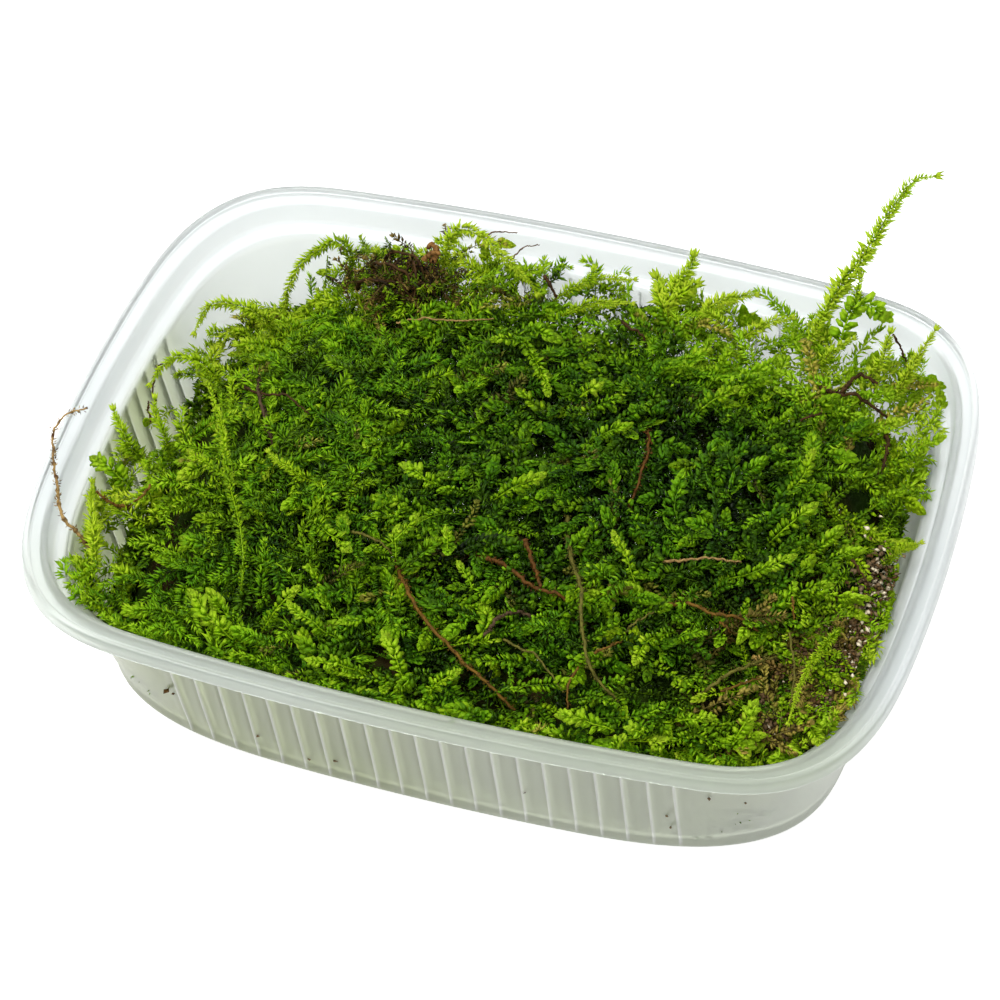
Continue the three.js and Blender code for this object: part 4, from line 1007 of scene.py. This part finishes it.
# Pale grains that show singly: x, y and height over the heap
GRAINS = [
    (47, -18, 0.2), (46.5, -19.5, 0.3), (46.8, -21, 0.2), (46.5, -5.5, 0.4), (45.5, -2.5, 0.5),
    (47, -11, 0.4), (46.5, -13.5, 0.3), (36, -23.5, 0.6), (43.5, 3, 0.3), (44.5, 5.5, 0.3), (46, 1, 0.3),
]


def litter(rng, stuff):
    """The litter patch: a low lumpy bed over the solid's oval, with crumbs and grains on it, and looser
    crumbs along the right wall as far as the middle of the side. One crumb in fifty is pale, and one in
    four by the wall."""
    count = 1500
    u = np.sqrt(rng.random(count))
    x, y = in_oval(LITTER, u, rng.uniform(0, 2 * np.pi, count))
    z = heap_top(x, y) - 2.0 + 1.2 * rng.random(count)
    size = rng.uniform(0.12, 0.42, count)
    chance = 0.02 + 0.22 * smooth(43.0, 47, x)
    pale = np.where(rng.random(count) < chance, rng.uniform(0.5, 1, count), rng.uniform(0, 0.1, count))
    size = np.where(pale > 0.5, np.maximum(size * 0.7, 0.2), size)
    parts = [crumbs(rng, keep_inside(np.column_stack([x, y, z]), 0.8), size, pale)]
    count = 500
    along = rng.uniform(0, 1, count)
    x = 47.2 - 1.5 * along + rng.normal(0, 1.3, count)
    y = -14 + 15 * along + rng.normal(0, 1, count)
    z = heap_top(x, y) - 1.6 + 1.5 * rng.random(count)
    pale = np.where(rng.random(count) < 0.16, rng.uniform(0.5, 1, count), rng.uniform(0, 0.15, count))
    size = rng.uniform(0.14, 0.42, count)
    parts.append(crumbs(rng, keep_inside(np.column_stack([x, y, z]), 0.9), size, pale))
    grains = keep_inside(lifted(GRAINS), 0.8)
    parts.append(crumbs(rng, grains, rng.uniform(0.22, 0.36, len(grains)), np.ones(len(grains)), 0.8))
    parts.append(litter_bed())
    add("litter_crumbs", parts, stuff, "litter_patch")


def litter_bed():
    """The bed under the crumbs: closed rows round the oval on the heap, and the same a little lower."""
    rows, columns, deep, thick = 5, 40, 1.9, 2.2
    share = np.linspace(0, 1, rows + 1)[1:, None]
    x, y = in_oval(LITTER, share, np.linspace(0, 2 * np.pi, columns, endpoint=False)[None])
    rings = keep_inside(np.stack([x, y, heap_top(x, y) - deep], -1), 0.8).reshape(-1, 3)
    top = np.concatenate([rings, lifted([(*LITTER[:2], -deep)])])
    count = len(top)
    skin = closed_rows(rows, columns)[:-columns]
    edge = np.arange(columns) + (rows - 1) * columns
    after = np.roll(edge, -1)
    side = [np.stack([edge, edge + count, after + count], 1), np.stack([edge, after + count, after], 1)]
    points = np.concatenate([top, top - (0, 0, thick)])
    return points, np.concatenate([skin[:, ::-1], skin + count, *side]), np.full(points.shape, 0.05)


# Where small sprigs lie over the litter and in the loose edge beside it: the oval's middle, its two
# radii and its turn, then the count and how deep the sprigs start
STREWN = [("litter_sprigs", LITTER, 70, 1.5), ("edge_sprigs", (43.5, 7.0, 4.5, 6.5, 0.0), 40, 3.0)]

# Gaps where the loose moss shows the tub through: x and y of the mouth at height 20, and the radius
GAPS = [
    (-44.2, 4.1, 1.5), (-44.7, -4.6, 1.1), (-42.5, -1.9, 0.9), (-38, -2.2, 0.7), (-35.7, 5.3, 0.7),
    (-42.2, -19.4, 1.1), (-37, -27.1, 0.7), (-48.2, -12, 1.4), (-40.4, 12.3, 0.8), (-33.3, 30.6, 1.2),
    (-34.7, 23.2, 0.9), (-3.7, 33.7, 1), (6.5, 34.7, 1), (23.5, 34, 1), (32.9, 34.9, 1.3),
    (37.5, 34.4, 1.2), (39.5, 17.8, 1.1), (48.6, 7.8, 1.5), (45.3, 0.4, 1), (49.6, -3.4, 1.2),
    (40.2, 9.3, 0.9), (48.3, 2.2, 1.2),
]


def clear_of_gaps(paths):
    """Which paths keep clear of every gap. A gap is a round channel that slants down and back from its
    mouth, by (0.047 x - 4.8, 0.045 y + 13.2) in 16 mm of height."""
    g = np.array(GAPS)
    mouth = np.column_stack([g[:, :2], np.full(len(g), 20.0)])
    way = unit(np.column_stack([0.047 * g[:, 0] - 4.8, 0.045 * g[:, 1] + 13.2, np.full(len(g), -16.0)]))
    off = paths[:, :, None] - mouth
    along = (off * way).sum(-1, keepdims=True)
    return (np.linalg.norm(off - along * way, axis=-1) - g[:, 2]).min((1, 2)) > 0.3


def walk(x, y, angle, step):
    """Shoots seen from above: each goes on from its start in even steps, each step at its own angle."""
    return x[:, None] + np.cumsum(np.cos(angle), 1) * step, y[:, None] + np.cumsum(np.sin(angle), 1) * step


def loose_facing(rng, count, spread):
    """Which way the flat sides of loose shoots face: up and a little to the front, more or less."""
    return unit(np.array([0.1, -0.25, 0.95]) + rng.normal(0, spread, (count, 3)))


def sprigs(rng, green, name, oval, count, deep):
    """Small living and dead sprigs that lie over the litter or the loose edge and half hide it."""
    u, v = 1.1 * np.sqrt(rng.random(count)), rng.uniform(0, 2 * np.pi, count)
    s = np.linspace(0, 1, 7)[None]
    angle = rng.uniform(0, 2 * np.pi, (count, 1)) + rng.normal(0, 0.8, (count, 1)) * s
    x, y = walk(*in_oval(oval, u, v), angle, rng.uniform(3, 7, (count, 1)) / 6)
    z = heap_top(x, y) - deep + rng.uniform(0.3, deep + 0.2, (count, 1)) * s
    paths = keep_inside(np.stack([x, y, z], -1), 1.1)
    dead = rng.random(count) < 0.35
    browned = np.where(dead, rng.uniform(0.6, 1, count), 0)
    tone = np.column_stack([rng.uniform(0.3, 0.8, count), rng.uniform(0.3, 0.9, count), browned])
    facing = loose_facing(rng, count, 0.4)
    size = rng.uniform(0.6, 1.0, count)
    kept = clear_of_gaps(paths)
    part = leafy(rng, paths[kept], facing[kept], size[kept], 0.42, tone[kept], BLUNT_LEAF, 0.45)
    add_moss(name, [part], green)


# Specks of soil and leaf in the face of the front wall: x, y, z, size and how pale
SPECKS = [
    (-32.2, -32.4, 10.6, 0.38, 0), (-31.4, -32.5, 10.2, 0.2, 0), (-21, -32.4, 5.8, 0.5, 0.1),
    (-14.8, -32.2, 3.4, 0.45, 0.2), (-11.2, -32.6, 4.7, 0.5, 0.1), (-2.5, -32.6, 4.1, 0.35, 0.2),
    (12.3, -33, 8, 0.35, 0), (5.8, -33.4, 9.8, 0.3, 0.1), (34.9, -32.9, 14.5, 0.28, 0.1),
    (39.6, -32.3, 13.7, 0.2, 0.1), (29.3, -32.3, 8.6, 0.2, 0.2), (29.6, -31.9, 5.8, 0.2, 0.2),
]


def specks(rng, stuff):
    """The specks as flat crumbs, moved out to the wall where they are set in it."""
    s = np.array(SPECKS)
    places = keep_inside(s[:, :3] - (0, 3, 0), -0.6)
    add("wall_specks", [crumbs(rng, places, s[:, 3], s[:, 4], 0.8)], stuff, "moss_heap")


# The mass of the heap: how many stations a loose shoot has, and how many shoots a piece holds at most
STATIONS, SHOOTS_A_PIECE = 8, 500
SHARES = np.linspace(0, 1, STATIONS)[None]


def thin_out(x, y):
    """1 along the left, back and right edges, where the moss is loose, 0 in the middle and at the front."""
    left = smooth(-26, -46, x)
    back = smooth(15, 32, y) * (0.35 + 0.65 * smooth(8, 30, np.abs(x - 6)))
    right = 0.8 * smooth(32, 47, x)
    return np.clip(left + back + right, 0, 1)


def feathery(x, y):
    """The share of shoots with slim leaves: all at the left, the back and the right edge, few between."""
    share = smooth(-4, -16, x) + smooth(19, 26, y) + smooth(38, 43, x) + 0.12
    return np.clip(share, 0, 1)


def mass_paths(rng, count, zone, reach, start_depth, end_depth, loose):
    """Paths of loose shoots through the heap: everywhere, or for zone 1 where the heap is feathery, or for
    zone -1 in the rest of it, and how far out from the middle each starts.

    A shoot starts start_depth under the heap's top and climbs along the heap to end_depth. Close to the
    walls shoots head outwards, and elsewhere any way, more often along the tub than across it. Their
    heading turns evenly along them. Where the moss is loose, a share of them is left out.
    """
    x = rng.uniform(-50, 50, 5 * count)
    y = rng.uniform(-37, 37, 5 * count)
    flat = np.column_stack([x, y, np.full(len(x), SHELF)])
    inside = np.abs(keep_inside(flat, 1.0) - flat).sum(1) < 0.01
    inside &= rng.random(len(x)) > loose * thin_out(x, y)
    if zone:
        inside &= (rng.random(len(x)) < feathery(x, y)) == (zone > 0)
    x, y = x[inside][:count], y[inside][:count]
    count = len(x)
    away = np.arctan2(y / HALF_WIDE, x / HALF_LONG)
    far = np.hypot(x / HALF_LONG, y / HALF_WIDE)
    pull = 0.6 * smooth(0.6, 1.0, far)[:, None]
    chance = rng.uniform(0, 2 * np.pi, count)
    head = pull * np.column_stack([np.cos(away) * 1.2, np.sin(away)])
    head = head + (1 - pull) * np.column_stack([np.cos(chance) * 1.5, np.sin(chance)])
    heading = np.arctan2(head[:, 1], head[:, 0])[:, None]
    step = rng.uniform(*reach, (count, 1)) / (STATIONS - 1)
    chance = chance[:, None]
    angle = heading + rng.normal(0, 0.9, (count, 1)) * SHARES + 0.25 * np.sin(5 * SHARES + chance)
    x, y = walk(x, y, angle, step)
    low, high = rng.uniform(*start_depth, (count, 1)), rng.uniform(*end_depth, (count, 1))
    depth = high + (low - high) * (1 - SHARES) ** 1.4 + 0.35 * np.sin(4.4 * SHARES + 2 * chance)
    paths = keep_inside(np.stack([x, y, relief(x, y) - depth], -1), 1.0)
    kept = clear_of_gaps(paths)
    return paths[kept], far[kept]


def wall_paths(rng, count):
    """Paths of shoots that lie along the inside of the body wall, at any height and rising a little, and
    0.8 for how far out they count as. The looser the moss, the lower they lie."""
    start = rng.uniform(0, 2 * np.pi, (count, 1))
    way = rng.choice([-1.0, 1.0], (count, 1))
    angle = start + way * SHARES * rng.uniform(0.1, 0.28, (count, 1))
    x, y = 60 * np.cos(angle), 46 * np.sin(angle)
    rise = SHARES * rng.uniform(-1, 5, (count, 1)) + 0.4 * np.sin(5 * SHARES + start)
    low = 1 - 0.45 * thin_out(0.8 * x, 0.75 * y)
    z = 3.0 + rng.uniform(0, 12, (count, 1)) * low + rise * low
    inwards = 1 - rng.uniform(0, 0.05, (count, 1, 1)) * (1, 1, 0)
    paths = keep_inside(np.stack([x, y, z], -1), 1.1) * inwards
    paths = paths[clear_of_gaps(paths)]
    return paths, np.full(len(paths), 0.8)


def low_paths(rng, count):
    """Paths of shoots that lie low over the bed's edge, beside the left, back and right walls, and 0.5 for
    how far out they count as."""
    x, y = rng.uniform(-48, 48, 8 * count), rng.uniform(-34, 35, 8 * count)
    kept = rng.random(8 * count) < 1.3 * thin_out(x, y) - 0.3
    x, y = x[kept][:count], y[kept][:count]
    count = len(x)
    start = x[:, None]
    angle = rng.uniform(0, 2 * np.pi, (count, 1)) + rng.normal(0, 0.8, (count, 1)) * SHARES
    x, y = walk(x, y, angle, rng.uniform(8, 14, (count, 1)) / (STATIONS - 1))
    z = rng.uniform(9.0, 12.0, (count, 1)) + 0.4 * np.sin(6 * SHARES + start)
    paths = keep_inside(np.stack([x, y, z], -1), 1.6)
    paths = paths[clear_of_gaps(paths)]
    return paths, np.full(len(paths), 0.5)


def drops(rng, water):
    """Fine drops of water that cling in the leaves of the middle and glint: round beads of three rings of
    six corners, and two poles."""
    count, sides = 600, 6
    x, y = rng.normal(8, 17, count), rng.normal(1, 11, count)
    places = keep_inside(np.column_stack([x, y, relief(x, y) + rng.uniform(-1.6, 0.9, count)]), 2.0)
    turn = np.arange(sides) * 2 * np.pi / sides
    polar, turn = np.meshgrid(np.radians([45, 90, 135]), turn, indexing="ij")
    rings = np.stack([np.sin(polar) * np.cos(turn), np.sin(polar) * np.sin(turn), np.cos(polar)], -1)
    bead = np.concatenate([rings.reshape(-1, 3), [[0, 0, 1], [0, 0, -1]]])
    points = places[:, None] + bead * rng.uniform(0.07, 0.17, (count, 1, 1))
    faces = copies(closed_rows(3, sides)[:, ::-1], count, len(bead))
    piece = mesh_piece("water_drops", points.reshape(-1, 3), faces, None, water, True)
    dress(piece, "moss_heap")


def place_tone(x, y, far):
    """Lightness, yellowness and browning by place: bright and yellow at the sides and brightest at the back
    right, deeper at the front and deep in the middle. The lightness is painted light where light comes
    through the loose moss at the edges and the back right, and painted shade at the front, at the back
    left and in the deep gaps of the middle."""
    edge = np.maximum(thin_out(x, y), 0.6 * smooth(0.6, 1.0, far))
    middle = np.exp(-((x - 15) / 27) ** 2 - ((y - 1) / 16) ** 2)
    back_right = smooth(15, 28, y) * smooth(6, 22, x)
    back = smooth(24, 32, y)
    front = smooth(-18, -30, y) * smooth(36, 20, x)
    right = smooth(35, 42, x) * smooth(-14, -4, y)
    back_left = smooth(19, 27, y) * smooth(-8, -20, x)
    # Painted light and painted shade by place
    light = 0.36 + 0.38 * edge - 0.20 * middle + 0.44 * back_right + 0.12 * back - 0.09 * front
    light = light + 0.02 * right - 0.09 * back_left
    hue = 0.26 + 0.40 * edge - 0.22 * middle - 0.12 * back_right + 0.06 * back - 0.2 * front
    brown = 0.6 * np.exp(-((x - 42) / 6) ** 2 - ((y + 20) / 10) ** 2)
    brown = brown + 0.7 * np.exp(-((x + 21) / 7) ** 2 - ((y - 27) / 4) ** 2)
    return light, hue, np.clip(brown, 0, 1)


def shoot_mass(rng, name, green, ways, leaf, light, tips, shape, slender, pitch):
    """Loose shoots as pieces that each stay under the limit of faces, and that stand for the heap together.
    ways holds their paths and how far out each is, and tips is the share that end in a round bright tip."""
    paths, far = ways
    count = len(paths)
    facing = loose_facing(rng, count, 0.38)
    x, y, _ = paths[:, -2].T
    tone_light, hue, brown = place_tone(x, y, far)
    chance = rng.random(count)
    tone = np.column_stack([
        tone_light + light + rng.normal(0, 0.11, count),
        hue + rng.normal(0, 0.18, count),
        np.where(chance < brown, 0.85, np.where(chance > 0.97, 0.7, 0.0)),
    ])
    sizes = leaf * rng.uniform(0.8, 1.2, count)
    tipped = rng.random(count) < tips
    groups = np.array_split(np.argsort(x), int(np.ceil(count / SHOOTS_A_PIECE)))
    for number, group in enumerate(groups, 1):
        parts = [leafy(rng, paths[group], facing[group], sizes[group], pitch, tone[group], shape, slender)]
        ends = group[tipped[group]]
        if len(ends):
            tip_size = rng.uniform(0.9, 1.6, len(ends))
            # The round tips are lighter than their shoots: painted light
            shade = tone[ends] * (1, 1, 0) + (0.08, 0, 0)
            parts.append(buds(rng, paths[ends], facing[ends], tip_size, shade))
        add_moss(f"{name}_{number}", parts, green)


def peat_and_shade_bed(material):
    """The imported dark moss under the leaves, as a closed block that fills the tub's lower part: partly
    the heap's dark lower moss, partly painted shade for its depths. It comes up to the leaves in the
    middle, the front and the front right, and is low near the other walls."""
    rows, columns, edge_height, foot_height, depth = 60, 44, 8.0, 1.6, 4.4
    u, v = np.meshgrid(np.linspace(-1, 1, rows), np.linspace(-1, 1, columns), indexing="ij")
    x = 50 * u * np.sqrt(1 - 0.22 * v ** 2)
    y = HALF_WIDE * v * np.sqrt(1 - 0.22 * u ** 2)
    rim = np.maximum(smooth(0.7, 0.9, -u), smooth(0.66, 0.86, v))
    rim = np.maximum(rim, smooth(0.74, 0.92, u) * smooth(-0.2, 0.15, v))
    rough = np.sin(1.9 * x) * np.sin(2.1 * y)
    bed = (relief(x, y) - depth + 0.5 * rough) * (1 - rim) + (edge_height + 0.8 * rough) * rim
    top = keep_inside(np.stack([x, y, bed], -1), 1.9)
    low = keep_inside(np.stack([x, y, np.full_like(x, foot_height)], -1), 2.5)
    grid = np.arange(x.size).reshape(x.shape)
    quads = np.stack([grid[:-1, :-1], grid[1:, :-1], grid[1:, 1:], grid[:-1, 1:]], -1).reshape(-1, 4)
    edge = np.concatenate([grid[:-1, 0], grid[-1, :-1], grid[:0:-1, -1], grid[0, :0:-1]])
    after = np.roll(edge, -1)
    side = np.stack([after, edge, edge + x.size, after + x.size], -1)
    faces = np.concatenate([quads, quads[:, ::-1] + x.size, side])
    points = np.concatenate([top.reshape(-1, 3), low.reshape(-1, 3)])
    dress(mesh_piece("peat_and_shade_bed", points, faces, None, material, True), "moss_heap")


def set_camera():
    """A camera at the photograph's angle: 20 degrees round, 48 degrees up, rolled 3 degrees."""
    azimuth, elevation, roll = np.radians([19.93, 48.31, -3.126])
    level = np.cos(elevation)
    back = np.array([np.sin(azimuth) * level, -np.cos(azimuth) * level, np.sin(elevation)])
    right = np.array([np.cos(azimuth), np.sin(azimuth), 0.0])
    up = np.cross(back, right)
    axes = [np.cos(roll) * right + np.sin(roll) * up, -np.sin(roll) * right + np.cos(roll) * up, back]
    lens = bpy.data.cameras.new("camera")
    lens.lens = 132.4
    lens.sensor_width = 36.0
    lens.shift_x = -0.0055
    lens.shift_y = -0.0381
    bpy.context.scene.camera = put("camera", lens, (0.09917, -0.27354, 0.35173), axes)


def softbox(name, place, power):
    """A round area light, half a metre wide, that points at the tub."""
    light = bpy.data.lights.new(name, "AREA")
    light.shape = "DISK"
    light.size = 0.5
    light.energy = power
    z = unit(np.array(place) - (0, 0, 0.02))
    x = unit(np.cross((0, 0, 1), z))
    put(name, light, place, [x, np.cross(z, x), z])


def studio():
    """A pale floor in soft light from all round, with a softbox high at the left and one in front."""
    t = Tree("studio_floor")
    material = t.finish({
        "Base Color": t.mix(t.noise(40.0, 2.0), (0.59, 0.59, 0.59), (0.61, 0.61, 0.61)),
        "Roughness": 0.9,
        "Emission Color": (1.0, 1.0, 1.0, 1.0),
        "Emission Strength": 0.66,
    })
    side, low = 1500.0, -0.05
    corners = np.array([(-side, -side, low), (side, -side, low), (side, side, low), (-side, side, low)])
    mesh_piece("floor", corners, [[0, 1, 2, 3]], None, material)
    world = bpy.data.worlds.new("studio")
    world.use_nodes = True
    background = world.node_tree.nodes["Background"]
    background.inputs["Color"].default_value = (1.0, 1.0, 1.0, 1.0)
    background.inputs["Strength"].default_value = 0.84
    bpy.context.scene.world = world
    softbox("softbox_high", (-0.3, -0.2, 0.9), 8.0)
    softbox("softbox_front", (0.4, -0.5, 0.6), 1.5)
    bpy.context.scene.view_settings.view_transform = "Standard"


# Barks: the dark of the streaks and joints, and the light between
BARKS = {
    "orange": ((0.035, 0.017, 0.003), (0.22, 0.115, 0.014)),
    "red": ((0.028, 0.012, 0.002), (0.16, 0.066, 0.010)),
    "purple": ((0.022, 0.013, 0.006), (0.11, 0.068, 0.034)),
    "olive": ((0.036, 0.035, 0.005), (0.17, 0.155, 0.024)),
    "dark": ((0.007, 0.004, 0.001), (0.085, 0.040, 0.010)),
    "tan": ((0.060, 0.025, 0.008), (0.52, 0.35, 0.12)),
    "knot": ((0.075, 0.033, 0.008), (0.40, 0.20, 0.055)),
}

# Layers of loose shoots: count, zone, length, depth of the foot and of the tip, looseness, then leaf,
# lightness, share of tips, leaf shape, its width by its length, and the leaves' spacing
# The lightness is painted shade, darkest for the deepest layer, and painted light for the top and the
# fringe
LAYERS = [
    ("moss_depth", (280, 0, (8, 14), (4.5, 7.0), (2.4, 4.2), 1.0),
     (1.1, -0.20, 0.0, SLIM_LEAF, 0.42, 0.6)),
    ("moss_middle", (800, 0, (7, 14), (3.2, 5.5), (0.6, 2.2), 0.8),
     (1.0, -0.06, 0.3, SLIM_LEAF, 0.4, 0.48)),
    ("moss_top", (560, -1, (6, 13), (2.2, 4.5), (-1.2, 0.7), 0.4),
     (1.0, 0.05, 0.5, BLUNT_LEAF, 0.46, 0.52)),
    ("moss_fringe", (760, 1, (6, 13), (2.2, 4.2), (-1.3, 1.0), 0.35),
     (1.25, 0.08, 0.2, SLIM_LEAF, 0.25, 0.36)),
]


def main():
    """The whole scene, with every random draw from one seeded source."""
    set_camera()
    studio()
    green = moss_green()
    barks = {kind: bark(kind + "_bark", *colours) for kind, colours in BARKS.items()}
    tub(milky_plastic())
    rng = np.random.default_rng(SEED)
    shoots(rng, green, barks)
    stems(rng, barks)
    threads(rng, barks)
    root_clump(rng, barks, green)
    stuff = litter_stuff()
    litter(rng, stuff)
    specks(rng, stuff)
    for strewn in STREWN:
        sprigs(rng, green, *strewn)
    for name, spread, look in LAYERS:
        shoot_mass(rng, name, green, mass_paths(rng, *spread), *look)
    # The shoots along the walls and low over the bed's edge are darker: painted shade
    shoot_mass(rng, "moss_walls", green, wall_paths(rng, 450), 1.15, -0.1, 0.0, SLIM_LEAF, 0.44, 0.62)
    shoot_mass(rng, "moss_low", green, low_paths(rng, 260), 1.15, -0.16, 0.0, SLIM_LEAF, 0.44, 0.62)
    peat_and_shade_bed(peat())
    drops(rng, water())


main()
